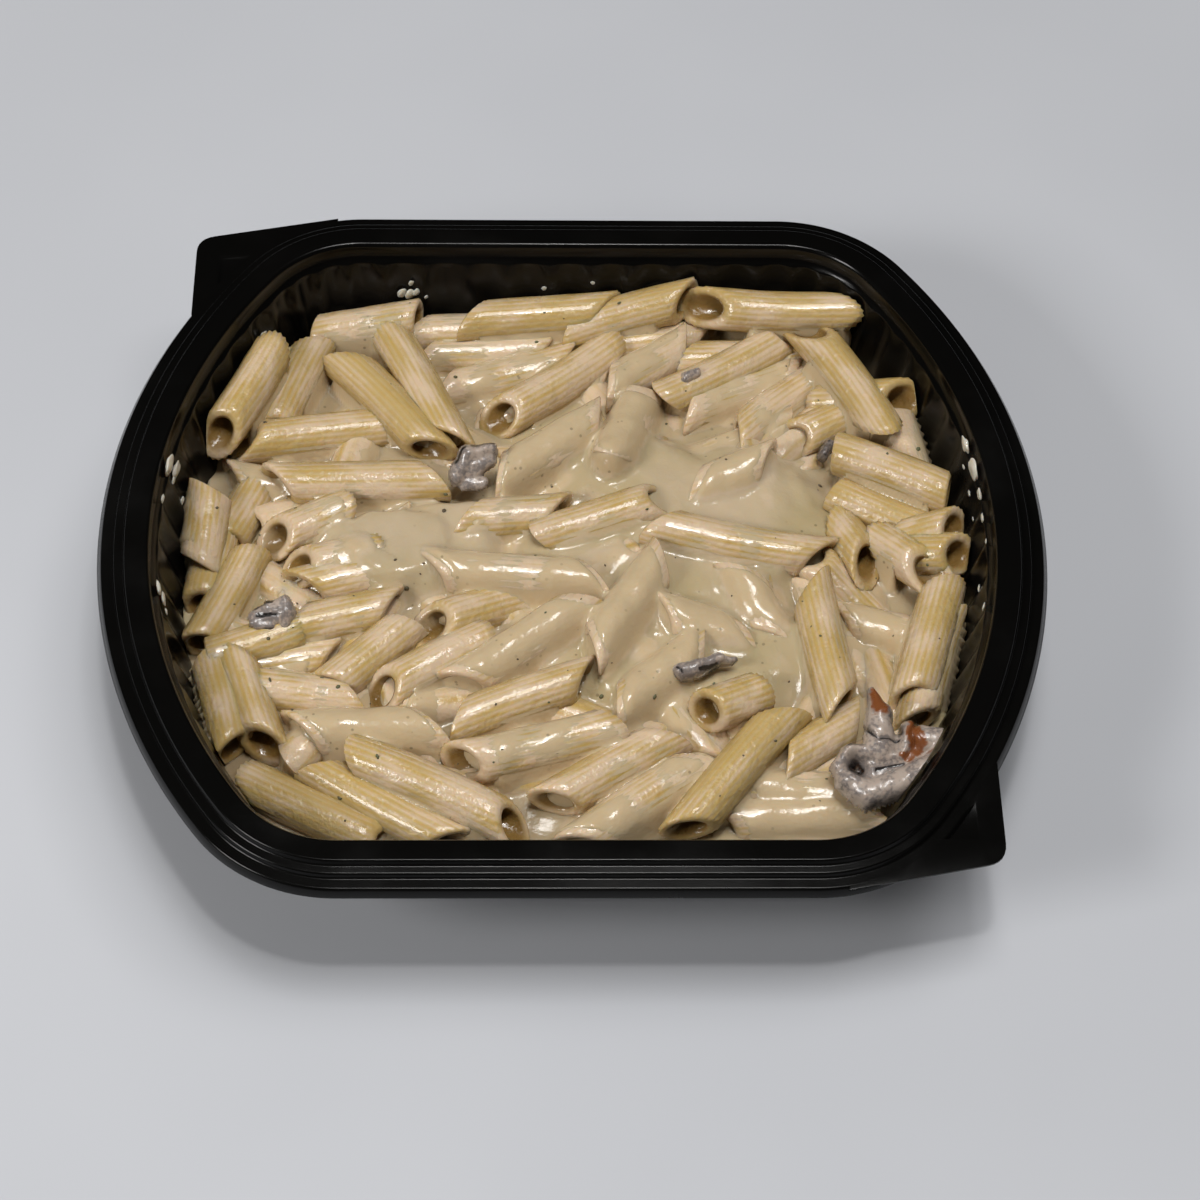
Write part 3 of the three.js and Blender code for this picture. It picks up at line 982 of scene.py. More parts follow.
@dataclass
class Pile:
    """The pile of penne: the surface that their tops follow, and where each one lies."""

    tray: Tray
    radius: float = 5.5
    bore: float = 3.0
    lip: float = 0.8
    lean: float = 3.4  # how near the axis of a piece comes to the wall that it is pressed against
    lean_behind: float = 1.4  # the same at the back wall, where it is pressed out of sight
    behind: float = 70.0  # where the back begins
    slack: float = 1.3  # how much more a piece gives way along Y than along X
    tries: int = 40
    nudge: float = 0.6  # the longest step that it is moved by at a time
    ridges: int = 22
    ridge: float = 0.4
    nominal: float = 40.0
    bore_rings: float = 0.55  # where the bore's inner rings lie, as a share of half the length
    swell: float = 0.22  # how uneven their thickness is
    squash: float = 0.05  # how far they are pressed oval
    patches: float = 0.55  # how uneven the sauce on them is
    fill: float = 0.64  # how full of sauce the grooves of a covered piece are
    wall_gap: float = 0.15
    # how far the tops of the penne lie below the rim: at each side, and at the crown of the pile
    left: float = 12.5
    right: float = 12.0
    rear: float = 12.5
    front: float = 12.0
    crown: float = 7.0
    crown_x: float = 10.0
    crown_y: float = -8.0
    finish: Pasta = Pasta()
    material: bpy.types.Material = field(init=False)

    def __post_init__(self) -> None:
        """Makes the one material that all the penne share."""
        self.material = self.finish.material()

    def top(self, x: float, y: float) -> float:
        """The height of the tops of the penne at a place.

        Args:
            x: The place along X.
            y: The place along Y.

        Returns:
            The height.
        """
        across = self.tray.inset_at_wall(26.0)
        half_x = self.tray.width / 2 - across
        half_y = self.tray.depth / 2 - across
        u, v = x / half_x, y / half_y
        sideways = u * u / (u * u + v * v + 1e-6)
        ends = (self.left + self.right) / 2 - (self.left - self.right) / 2 * u
        sides = (self.rear + self.front) / 2 + (self.rear - self.front) / 2 * v
        wall = sideways * ends + (1 - sideways) * sides
        away = min(1.0, ((x - self.crown_x) / half_x) ** 2 + ((y - self.crown_y) / half_y) ** 2)
        return self.tray.height - self.crown - (wall - self.crown) * away

    def clearance(self, point: Vector, radius: float) -> float:
        """The room between a round thing of that radius and the wall beside it."""
        inset = self.tray.inset_of(point.x, point.y) - self.tray.inset_at_wall(point.z)
        return inset * math.cos(self.tray.draft) - self.tray.flute_depth / 2 - radius

    def settle(self, penne: Penne) -> Placed:
        """Places a piece on the pile and draws it inwards until it is clear of the wall.

        Args:
            penne: How the piece lies.

        Returns:
            The piece in place.
        """
        turn, rise, roll = (math.radians(a) for a in (penne.turn, penne.rise, penne.roll))
        along = Vector((math.cos(turn) * math.cos(rise), math.sin(turn) * math.cos(rise), math.sin(rise)))
        flat = Vector((-math.sin(turn), math.cos(turn), 0))
        up = along.cross(flat)
        side = -flat
        back = up * math.cos(roll) + side * math.sin(roll)
        other = back.cross(along)
        middle = Vector((penne.x, penne.y, penne.z))
        reach = along * (penne.length / 2)
        lean = self.lean if penne.y < self.behind else self.lean_behind
        for _ in range(self.tries):
            tight = min((middle + reach, middle - reach), key=lambda p: self.clearance(p, lean))
            short = self.clearance(tight, lean)
            if short >= 0:
                break
            inward = -Vector((tight.x, tight.y * self.slack, 0)).normalized()
            middle += inward * min(self.nudge, 0.1 - short)
        return Placed(middle, along, other, back, penne)

    def template(self, rows: int, around: int) -> bpy.types.Mesh:
        """A straight piece along Z with ridges outside and a bore, before it is cut slantwise.

        Args:
            rows: The number of rows along its outside.
            around: The number of points round it.

        Returns:
            The mesh, with each point's own place and whether it lies in the bore.
        """
        piece = Workpiece("penne_template")
        bore, valley = piece.number("bore"), piece.number("valley")
        half = self.nominal / 2
        soft = self.lip
        deep = half * self.bore_rings
        profile = [(self.radius, -half + soft + (2 * half - 2 * soft) * i / (rows - 1)) for i in range(rows)]
        profile += [(self.radius - soft, half), (self.bore + soft, half), (self.bore, half - soft)]
        profile += [(self.bore, deep), (self.bore, -deep)]
        profile += [(self.bore, -half + soft), (self.bore + soft, -half), (self.radius - soft, -half)]
        rings = []
        for k, (radius, z) in enumerate(profile):
            points = []
            for i in range(around):
                low = self.ridge * (i % 2) if radius == self.radius and around == 2 * self.ridges else 0.0
                angle = 2 * math.pi * i / around
                points.append(Vector(((radius - low) * math.cos(angle), (radius - low) * math.sin(angle), z)))
            ring = piece.next_ring(rings[-1], points) if rings else piece.start_ring(points)
            inside = radius <= self.bore + soft / 2
            for i, vert in enumerate(ring):
                vert[bore] = 1.0 if inside else (0.25 if radius <= self.bore + soft else 0.0)
                vert[valley] = float(i % 2) if radius == self.radius else 0.5
            rings.append(ring)
        ends = piece.ring_edges(rings[0]) + piece.ring_edges(rings[-1])
        bmesh.ops.bridge_loops(piece.bm, edges=ends)
        bmesh.ops.recalc_face_normals(piece.bm, faces=piece.bm.faces)
        mesh = bpy.data.meshes.new("penne_template")
        piece.bm.to_mesh(mesh)
        piece.bm.free()
        return mesh

    def build(
        self, name: str, lying: Sequence[Placed], fine: bool, replaces: Sequence[str] = ()
    ) -> bpy.types.Object:
        """Builds many pieces of penne as one mesh.

        Args:
            name: The object's name.
            lying: The pieces in place.
            fine: Whether they have ridges.
            replaces: The CAD nodes that the object stands for.

        Returns:
            The object.
        """
        template = self.template(13, 2 * self.ridges) if fine else self.template(5, 20)
        piece = Workpiece(name)
        bm = piece.bm
        bore, coat = piece.number("bore"), piece.number("coat")
        piece.number("valley")
        own = bm.verts.layers.float_vector.new("own")
        for index, placed in enumerate(lying):
            start = len(bm.verts)
            bm.from_mesh(template)
            bm.verts.ensure_lookup_table()
            self._shape(bm.verts[start:], placed, index, bore, coat, own)
        bpy.data.meshes.remove(template)
        return piece.finish(self.material, Slot.PASTA, replaces)

    def _shape(self, verts: Sequence, placed: Placed, index: int, bore: Any, coat: Any, own: Any) -> None:
        """Cuts, bends and coats one piece and puts it in place.

        Args:
            verts: Its points.
            placed: Where it lies.
            index: Its number, which makes its unevenness its own.
            bore: The layer that says what lies in the bore.
            coat: The layer of the sauce's cover.
            own: The layer of the piece's own coordinates.
        """
        penne = placed.penne
        stretch = penne.length / self.nominal
        slant = math.tan(math.radians(penne.cut))
        squash = 1 + self.squash * lump(index * 7.3, 0, 0, 1.0)
        for vert in verts:
            local = vert.co.copy()
            vert[own] = local + Vector((index * 31.0, index * 17.0, index * 53.0))
            outside = vert[bore] < 0.2
            flat = math.hypot(local.x, local.y)
            swell = self.swell * lump(local.x + index * 9, local.y, local.z * 0.5, 4.0)
            level = penne.coat + self.patches * lump(local.x, local.y + index * 11, local.z * 0.45, 5.0)
            level = min(1.0, max(0.0, level))
            if outside:
                groove = self.radius - flat
                filled = groove * self.fill * level ** 2 if groove < 0.5 else 0.0
                grow = (flat + filled + swell * (0.4 + 0.6 * level)) / flat
                local.x *= grow
                local.y *= grow
            vert[coat] = level
            local.x *= squash
            local.y /= squash
            local.z = local.z * stretch + local.y * slant
            sag = penne.bend * ((local.z / 20.0) ** 2 - 0.4)
            local.x += sag * math.cos(index)
            local.y += sag * math.sin(index)
            vert.co = placed.to_world(local)
        self.tray.press_inside(verts, self.wall_gap)


TOP_LAYER = (
    # along the back
    Penne(-82.6, 49.2, 27.5, 65, 2, 0.35, 8.0, 27, 42),
    Penne(-75.5, 57, 17.5, 69, 4, 0.25, 90.0, 30, 25),
    Penne(-70.3, 58, 19.5, 70, 4, 0.35, 90.0, 27, 25),
    Penne(-63.7, 43.2, 18.4, 12, -5, 0.25, -25.0, 38),
    Penne(-52.5, 76.3, 21.5, 7, 6, 0.6, -90.0, 27, 20),
    Penne(-46, 50.5, 21.5, -53, 2.5, 0.12, -88.0, 37, 44),
    Penne(-38.8, 57.2, 22, -66, 1.5, 0.42, -82.0, 41, 48),
    Penne(-27, 76.8, 18.5, 2, 0, 0.75, -90.0, 26),
    Penne(-20.5, 71.7, 16.5, 4, 0, 0.7, -90.0, 32),
    Penne(-16, 63.4, 17.3, 17, 0, 0.65, -90.0, 34),
    Penne(-7.9, 78.5, 23.5, 4, 2, 0.3, -90.0, 35),
    Penne(15.7, 78.8, 24.3, 9, 13, 0.32, -90.0, 30),
    Penne(20, 74.6, 17.3, 8, 0, 0.6, -90.0, 32),
    Penne(51, 77.5, 27.5, -3, 0, 0.3, 42.0, 34, 56),
    Penne(46, 69, 18, 5, -2, 0.5, -90.0, 34),
    Penne(40.7, 63.2, 21, 213, 0, 0.45, 0.0, 37),
    Penne(69.1, 55.5, 27.5, -62, -1, 0.3, -4.0, 34, 57),
    Penne(80, 54, 24.5, 165, -22, 0.3, -45.0, 20),
    Penne(86.5, 42.5, 21.5, -80, -2, 0.85, -20.0, 21, 42, 2.0),
    # behind the middle
    Penne(-4.2, 57.9, 20.2, 40, -3, 0.45, 10.0, 36),
    Penne(-5.5, 34.2, 24, 37, -1, 0.9, -90.0, 32),
    Penne(19.5, 64, 20.6, 38, -4, 0.75, -90.0, 26),
    Penne(14.5, 43.7, 22.6, 71, -12, 0.95, 180.0, 29),
    Penne(44.2, 57.5, 17.8, 26, -4, 0.7, -90.0, 32),
    Penne(52.5, 51.5, 19.1, 44, -5, 0.65, -90.0, 30),
    Penne(65.8, 46, 20.5, 30, 0, 0.35, 20.0, 24),
    Penne(40, 26.6, 22.8, 201, -7, 0.9, -90.0, 20),
    Penne(79.6, 24.7, 27.5, -29, 4, 0.42, 90.0, 31, 15),
    Penne(77.8, 14.9, 21.8, -30, 3, 0.28, -90.0, 29, 12),
    # the left end
    Penne(-90, 11, 22.8, -94, -12, 0.6, -60.0, 21, 30),
    Penne(-81.6, 19.6, 17, 69, -4, 0.35, 90.0, 22, 20),
    Penne(-74, 27.5, 16, -12, -4, 0.8, 90.0, 22),
    Penne(-53.4, 24.5, 22.9, 0, 2, 0.5, 90.0, 39),
    Penne(-65.4, 12.3, 21.2, 26, 1, 0.62, 8.0, 17),
    Penne(-58.5, 0.5, 22, 13, 0, 0.62, 8.0, 17),
    Penne(-53.5, -3, 20.8, 15, 1, 0.6, 90.0, 24),
    Penne(-55, -15.7, 21.5, 14, 0, 0.45, -90.0, 24),
    Penne(-88.5, 1.4, 17.8, 83, 2, 0.3, 0.0, 22, 20),
    Penne(-84, -8.5, 19, -111, 1, 0.3, 90.0, 29, 20),
    Penne(-76, -23, 21, 22, 1, 0.3, -90.0, 24, 8),
    # the middle
    Penne(-14.5, 13.6, 23.4, 6, -2, 0.6, -90.0, 22),
    Penne(-14.4, -5.5, 24.6, -4, 0, 0.9, 90.0, 40),
    Penne(-24.1, -15, 22.3, 30, -14, 0.5, 0.0, 24),
    Penne(-12.2, -25.7, 24.6, 37, 4, 0.88, 90.0, 36),
    Penne(-48.5, -27, 21.8, 44, 2, 0.5, 90.0, 24, 25),
    Penne(8, 13, 23.7, 199, -4, 0.45, 0.0, 30),
    Penne(40.6, 4.5, 24.4, -11, -3, 0.6, -90.0, 40),
    Penne(12.9, -15.4, 26, 57, -1, 0.95, -90.0, 32),
    Penne(31, -19.2, 22, -14, -14, 0.95, 90.0, 22),
    Penne(44, -12.5, 21.5, -68, -12, 0.95, -90.0, 19),
    # the right end
    Penne(68.7, 5.4, 22.5, 112, -17, 0.3, 45.0, 15, 45),
    Penne(82, -1.4, 25.7, 129, -16, 0.5, -10.0, 14, 48),
    Penne(87, 6.7, 25.6, 182, -22, 0.3, -60.0, 13, 30),
    Penne(91.5, 0.7, 26.1, 165, -20, 0.3, -45.0, 12, 30),
    Penne(84.6, -24.8, 24.4, 73, -1, 0.42, 60.0, 34, 30),
    Penne(84.8, -30.5, 21.5, -107, 1, 0.4, 90.0, 32),
    Penne(60, -25.9, 24.4, -81, -2, 0.45, 90.0, 34, 45),
    Penne(65.8, -5.6, 19.1, -44, -20, 0.6, 0.0, 24),
    Penne(76, -17.9, 18.2, -14, -3, 0.8, 90.0, 24),
    # along the front
    Penne(-85, -40.5, 20, -75, 0, 0.35, 90.0, 27, 28),
    Penne(-76, -40.2, 21, 108, 1, 0.3, -55.0, 24),
    Penne(-68, -26, 17, 10, 0, 0.6, -90.0, 22),
    Penne(-64.3, -36.3, 19.8, -7, 1, 0.6, 90.0, 24),
    Penne(-48.7, -48.7, 22.5, 0, 3, 0.85, 90.0, 31, 45),
    Penne(-31.7, -65.3, 22.6, -27, -1, 0.5, 165.0, 40),
    Penne(-59.7, -69.6, 16.5, -27, -2, 0.25, 180.0, 36),
    Penne(-44, -67.3, 18.4, -32, 0, 0.3, -90.0, 36),
    Penne(-34.3, -31, 22.6, 31, 2, 0.6, 0.0, 26),
    Penne(-12.3, -41.1, 24, 20, 4, 0.38, -90.0, 32),
    Penne(-9.2, -54.4, 24.3, 15, 0, 0.7, 60.0, 35),
    Penne(8, -60, 22.8, 33, 0, 0.55, 90.0, 31),
    Penne(15, -68.3, 21.6, 37, 1, 0.75, 90.0, 36),
    Penne(37.1, -61, 24.2, 52, 2, 0.12, 90.0, 38),
    Penne(20.4, -34.1, 22.6, 40, -1, 0.95, -90.0, 28),
    Penne(36.8, -42.6, 25.6, 27, -9, 0.5, 45.0, 14, 22),
    Penne(58, -50, 19.8, 36, -6, 0.5, -90.0, 22),
    Penne(51, -63, 18, -2, -1, 0.75, 90.0, 28),
    Penne(52.7, -70.5, 16.5, 3, 0, 0.8, 90.0, 36),
)


@dataclass
class Underlayer:
    """The penne that show only through the gaps between those on top."""

    pile: Pile
    seed: int = 11
    spacing: float = 19.0
    columns: int = 5  # to each side of the middle
    rows: int = 4
    jitter: float = 0.2
    sunk: float = 9.5
    margin: float = 30.0  # from the tray's outline
    coat: float = 0.7
    length: float = 38.0

    def lying(self) -> list[Placed]:
        """Places the hidden layer in loose rows.

        Returns:
            The pieces in place.
        """
        chance = random.Random(self.seed)
        placed = []
        for i in range(-self.columns, self.columns + 1):
            for j in range(-self.rows, self.rows + 1):
                x = (i + 0.5 * (j % 2) + chance.uniform(-self.jitter, self.jitter)) * self.spacing
                y = (j + chance.uniform(-self.jitter, self.jitter)) * self.spacing
                turn = chance.uniform(0, 180)
                sunk = self.sunk + chance.uniform(-1.5, 2.0)
                if self.pile.tray.inset_of(x, y) < self.margin:
                    continue
                z = self.pile.top(x, y) - self.pile.radius - sunk
                rise = chance.uniform(-8, 8)
                roll = chance.uniform(0, 360)
                placed.append(self.pile.settle(Penne(x, y, z, turn, rise, self.coat, roll, self.length)))
        return placed


# ---- the sauce ----------------------------------------------------------------------------------


@dataclass(frozen=True)
class Pool:
    """A place where the sauce stands open between the penne."""

    x: float
    y: float
    reach_x: float
    reach_y: float
    depth: float  # below the tops of the penne


@dataclass
class Sauce:
    """The thick sauce: pools between the penne, and sheets of it that lie over them."""

    pile: Pile
    spacing: float = 0.6
    pools: tuple[Pool, ...] = (
        Pool(38, 12, 34, 32, 8.2),
        Pool(34, -24, 32, 25, 9.0),
        Pool(8, 2, 30, 20, 8.8),
        Pool(14, 30, 28, 18, 8.0),
        Pool(-36, 6, 26, 17, 6.4),
        Pool(-43, 5, 22, 15, 4.8),
        Pool(2, -26, 26, 16, 9.4),
    )
    gap_depth: float = 12.5
    lobes: float = 0.3  # how uneven the pools' outlines are
    bank: float = 0.42  # how much of a pool's reach its bank takes
    fillet: tuple[float, float] = (0.5, 1.7)  # outside the pools and in them
    steep: tuple[float, float] = (7.0, 2.8)  # the fall beside bare and beside covered penne
    knee: float = 0.93  # how far down a piece's side the sheet follows it, as a share of its radius
    sunk: float = 1.35  # how far the sheet lies below the top of a bare piece
    cling: float = 2.2  # how much higher it lies on a covered one
    ripple: float = 0.6  # how uneven its thickness is there
    melting: int = 5  # how often the pools are smoothed
    hollow: float = 6.0  # how far into a bare bore the sheet stays back
    inset: float = 16.0  # how far inside the tray's outline the sheet starts
    painted_shade_depth: float = 8.5  # below the tops of the penne, where the painted shade on the sauce begins
    bottom: float = 9.0  # the height of its underside
    skin: float = 0.25  # how far its edge sinks into the wall
    finish: CreamSauce = CreamSauce()

    def level(self, x: np.ndarray, y: np.ndarray, rough: np.ndarray) -> tuple[np.ndarray, np.ndarray]:
        """The open sauce.

        Args:
            x: Places along X.
            y: Places along Y.
            rough: Noise that makes the pools lobed.

        Returns:
            How far it lies below the top of the pile, and how far each place is within a pool.
        """
        depth = np.full(x.shape, self.gap_depth)
        within = np.zeros(x.shape)
        for pool in self.pools:
            away = np.hypot((x - pool.x) / pool.reach_x, (y - pool.y) / pool.reach_y)
            share = np.clip((1.0 - away - self.lobes * rough) / self.bank, 0, 1)
            share = share * share * (3 - 2 * share)
            depth = np.minimum(depth, self.gap_depth + (pool.depth - self.gap_depth) * share)
            within = np.maximum(within, share)
        return depth + rough, within

    def penne_height(
        self, x: np.ndarray, y: np.ndarray, rough: np.ndarray, lying: Sequence[Placed]
    ) -> tuple[np.ndarray, np.ndarray]:
        """The height of the penne's tops with the sauce on them.

        Args:
            x: Places along X.
            y: Places along Y.
            rough: Noise that makes the cover uneven.
            lying: The pieces in place.

        Returns:
            The covered height, and 1 where the sheet closes a bore from inside, which is painted in shade.
        """
        covered = np.full(x.shape, -50.0)
        shaded_bore = np.zeros(x.shape)
        for placed in lying:
            penne = placed.penne
            dx, dy = x - placed.middle.x, y - placed.middle.y
            reach = penne.length / 2 + 12
            near = (np.abs(dx) < reach) & (np.abs(dy) < reach)
            height, closed = self._over_piece(dx[near], dy[near], placed)
            height += self.cling * penne.coat ** 2 - self.sunk + self.ripple * rough[near]
            shaded_bore[near] = np.where(height > covered[near], closed, shaded_bore[near])
            covered[near] = smooth_max(covered[near], height, 0.3)
        return covered, shaded_bore

    def _over_piece(self, dx: np.ndarray, dy: np.ndarray, placed: Placed) -> tuple[np.ndarray, np.ndarray]:
        """The sheet over one piece, before its own thickness.

        Args:
            dx: Places along X from the piece's middle.
            dy: Places along Y from it.
            placed: The piece.

        Returns:
            The height, and how far the sheet closes the bore at each place, from 0 to 1.
        """
        penne = placed.penne
        radius = self.pile.radius
        knee = radius * self.knee
        flat = math.hypot(placed.along.x, placed.along.y)
        run = Vector((placed.along.x / flat, placed.along.y / flat, 0))
        beside = Vector((-run.y, run.x, 0))
        along = (dx * run.x + dy * run.y) / max(flat, 0.6)
        aside = dx * beside.x + dy * beside.y
        crown = np.sqrt(radius ** 2 - np.minimum(np.abs(aside), knee) ** 2)
        slant = math.tan(math.radians(penne.cut))
        up = placed.along.cross(beside)
        shift = slant * (aside * placed.back.dot(beside) + crown * placed.back.dot(up))
        past = np.abs(along - shift) - penne.length / 2
        over = np.maximum(past + self.pile.lip + self.hollow * (1 - penne.coat), 0)
        soft = penne.coat ** 2
        away = np.hypot(aside, np.maximum(past + radius * soft, 0) * soft)
        bare, thick = self.steep
        fall = (np.maximum(away - knee, 0) + over) * (bare + (thick - bare) * penne.coat)
        height = np.sqrt(radius ** 2 - np.minimum(away, knee) ** 2) - fall
        inside = (over > 0) & (np.abs(aside) < self.pile.bore + self.pile.lip)
        return height + placed.middle.z + along * placed.along.z, inside * (1 - soft)

    def build(self, lying: Sequence[Placed]) -> bpy.types.Object:
        """Builds the sauce round the penne.

        Args:
            lying: All pieces of penne in place.

        Returns:
            The object.
        """
        tray = self.pile.tray
        piece = Workpiece("cream_sauce_surface")
        bm = piece.bm
        half_x, half_y = tray.width / 2 - self.inset, tray.depth / 2 - self.inset
        steps = (round(2 * half_x / self.spacing), round(2 * half_y / self.spacing))
        bmesh.ops.create_grid(bm, x_segments=steps[0], y_segments=steps[1], size=1)
        bmesh.ops.scale(bm, vec=(half_x, half_y, 1), verts=bm.verts)
        outside = [v for v in bm.verts if tray.inset_of(v.co.x, v.co.y) < self.inset + 0.5]
        bmesh.ops.delete(bm, geom=outside, context="VERTS")
        film, low, open_ = piece.number("film"), piece.number("low"), piece.number("open")
        verts = list(bm.verts)
        x = np.array([v.co.x for v in verts])
        y = np.array([v.co.y for v in verts])
        broad = np.array([lump(a, b, 0.0, 17.0) for a, b in zip(x, y)])
        small = np.array([lump(a, b, 40.0, 6.5) for a, b in zip(x, y)])
        covered, shaded_bore = self.penne_height(x, y, small + 0.5 * broad, lying)
        top = np.array([self.pile.top(a, b) for a, b in zip(x, y)])
        depth, within = self.level(x, y, broad + 0.25 * small)
        loose, full = self.fillet
        height = smooth_max(covered, top - depth, loose + (full - loose) * within)
        height += np.array([lump(a, b, 80.0, 3.6) for a, b in zip(x, y)]) * (0.12 + 0.25 * within)
        for vert, z, over, crest, bore in zip(verts, height, covered, top, shaded_bore):
            vert.co.z = z
            vert[film] = min(1.0, max(0.0, 1.2 - abs(z - over) * 0.8))
            # painted shade: darker the deeper the sauce lies below the pile's top, and full where it closes a
            # bore
            vert[low] = min(1.0, max(bore, (crest - z - self.painted_shade_depth) / 6.0))
            vert[open_] = min(1.0, max(0.0, (z - over) * 0.6))
        melted = [v for v, share in zip(verts, within) if share > 0.3]
        bmesh.ops.smooth_vert(bm, verts=verts, factor=0.4, use_axis_z=True)
        for _ in range(self.melting):
            bmesh.ops.smooth_vert(bm, verts=melted, factor=0.5, use_axis_z=True)
        self._meet_wall(bm)
        self._close_below(bm)
        return piece.finish(self.finish.material(), Slot.SAUCE, ["cream_sauce"], fix_normals=True)

    def _gap(self, vert: bmesh.types.BMVert) -> float:
        """How far a point is from the wall, less the skin by which the sheet sinks into it."""
        tray = self.pile.tray
        return tray.inset_of(vert.co.x, vert.co.y) - tray.inset_at_wall(vert.co.z) + self.skin

    def _meet_wall(self, bm: bmesh.types.BMesh) -> None:
        """Cuts the sheet off at the wall and draws its edge onto it.

        Args:
            bm: The sheet.
        """
        beyond = [v for v in bm.verts if self._gap(v) < -self.spacing * 0.5]
        bmesh.ops.delete(bm, geom=beyond, context="VERTS")
        loose = [v for v in bm.verts if not v.link_faces]
        bmesh.ops.delete(bm, geom=loose, context="VERTS")
        for vert in [v for v in bm.verts if v.is_boundary or self._gap(v) < 0]:
            for _ in range(3):
                step = self._gap(vert)
                if abs(step) > 2 * self.spacing:
                    break
                vert.co += outwards(vert.co) * step

    def _close_below(self, bm: bmesh.types.BMesh) -> None:
        """Carries the sheet's edge down along the wall and closes the body underneath.

        Args:
            bm: The sheet.
        """
        tray = self.pile.tray
        edges = [e for e in bm.edges if e.is_boundary]
        made = bmesh.ops.extrude_edge_only(bm, edges=edges)["geom"]
        for vert in [g for g in made if isinstance(g, bmesh.types.BMVert)]:
            inset = tray.inset_of(vert.co.x, vert.co.y)
            shift = max(0.0, tray.inset_at_wall(self.bottom) + 1.2 - inset)
            vert.co -= outwards(vert.co) * shift
            vert.co.z = self.bottom
        bmesh.ops.holes_fill(bm, edges=[g for g in made if isinstance(g, bmesh.types.BMEdge)])


# ---- the mushrooms ------------------------------------------------------------------------------


@dataclass(frozen=True)
class Stroke:
    """A straight stroke from one place to another, which is a lobe, a crease painted in shade, or a browned
    stain.
    """

    x0: float
    y0: float
    x1: float
    y1: float
    r0: float
    r1: float
    z0: float = 0.0
    z1: float = 0.0

    def near(self, x: np.ndarray, y: np.ndarray) -> tuple[np.ndarray, np.ndarray]:
        """Where each place lies beside the stroke.

        Args:
            x: Places along X.
            y: Places along Y.

        Returns:
            How far along the stroke each place lies, from 0 to 1, and how far beside it.
        """
        dx, dy = self.x1 - self.x0, self.y1 - self.y0
        along = np.clip(((x - self.x0) * dx + (y - self.y0) * dy) / max(dx * dx + dy * dy, 1e-6), 0, 1)
        return along, np.hypot(x - self.x0 - dx * along, y - self.y0 - dy * along)

    def height(self, x: np.ndarray, y: np.ndarray) -> np.ndarray:
        """The top of the stroke as a round lobe, which falls off steeply beside it.

        Args:
            x: Places along X.
            y: Places along Y.

        Returns:
            The heights.
        """
        along, beside = self.near(x, y)
        radius = self.r0 + (self.r1 - self.r0) * along
        knee = np.minimum(beside, 0.94 * radius)
        fall = np.maximum(beside - 0.94 * radius, 0) * 4
        return self.z0 + (self.z1 - self.z0) * along + np.sqrt(radius ** 2 - knee ** 2) - fall

    def stain_and_shade(self, x: np.ndarray, y: np.ndarray) -> np.ndarray:
        """How strong the stroke is at each place, as a browned stain or as painted shade in a crease.

        Args:
            x: Places along X.
            y: Places along Y.

        Returns:
            The strengths, from 0 to 1.
        """
        along, beside = self.near(x, y)
        radius = self.r0 + (self.r1 - self.r0) * along
        return np.exp(-((beside / radius) ** 2))


@dataclass(frozen=True)
class MushroomForm:
    """One piece of mushroom: its lobes, its creases, its browned places and how it lies."""

    node: str
    place: Triple
    turn: float
    lean: float
    lobes: tuple[Stroke, ...]
    creases: tuple[Stroke, ...] = ()
    browned: tuple[Stroke, ...] = ()
    # how far the whole piece is painted darker, as shade
    shade: float = 0.0
    base: float = -1.5
    in_cad: bool = True  # whether a CAD node stands for it


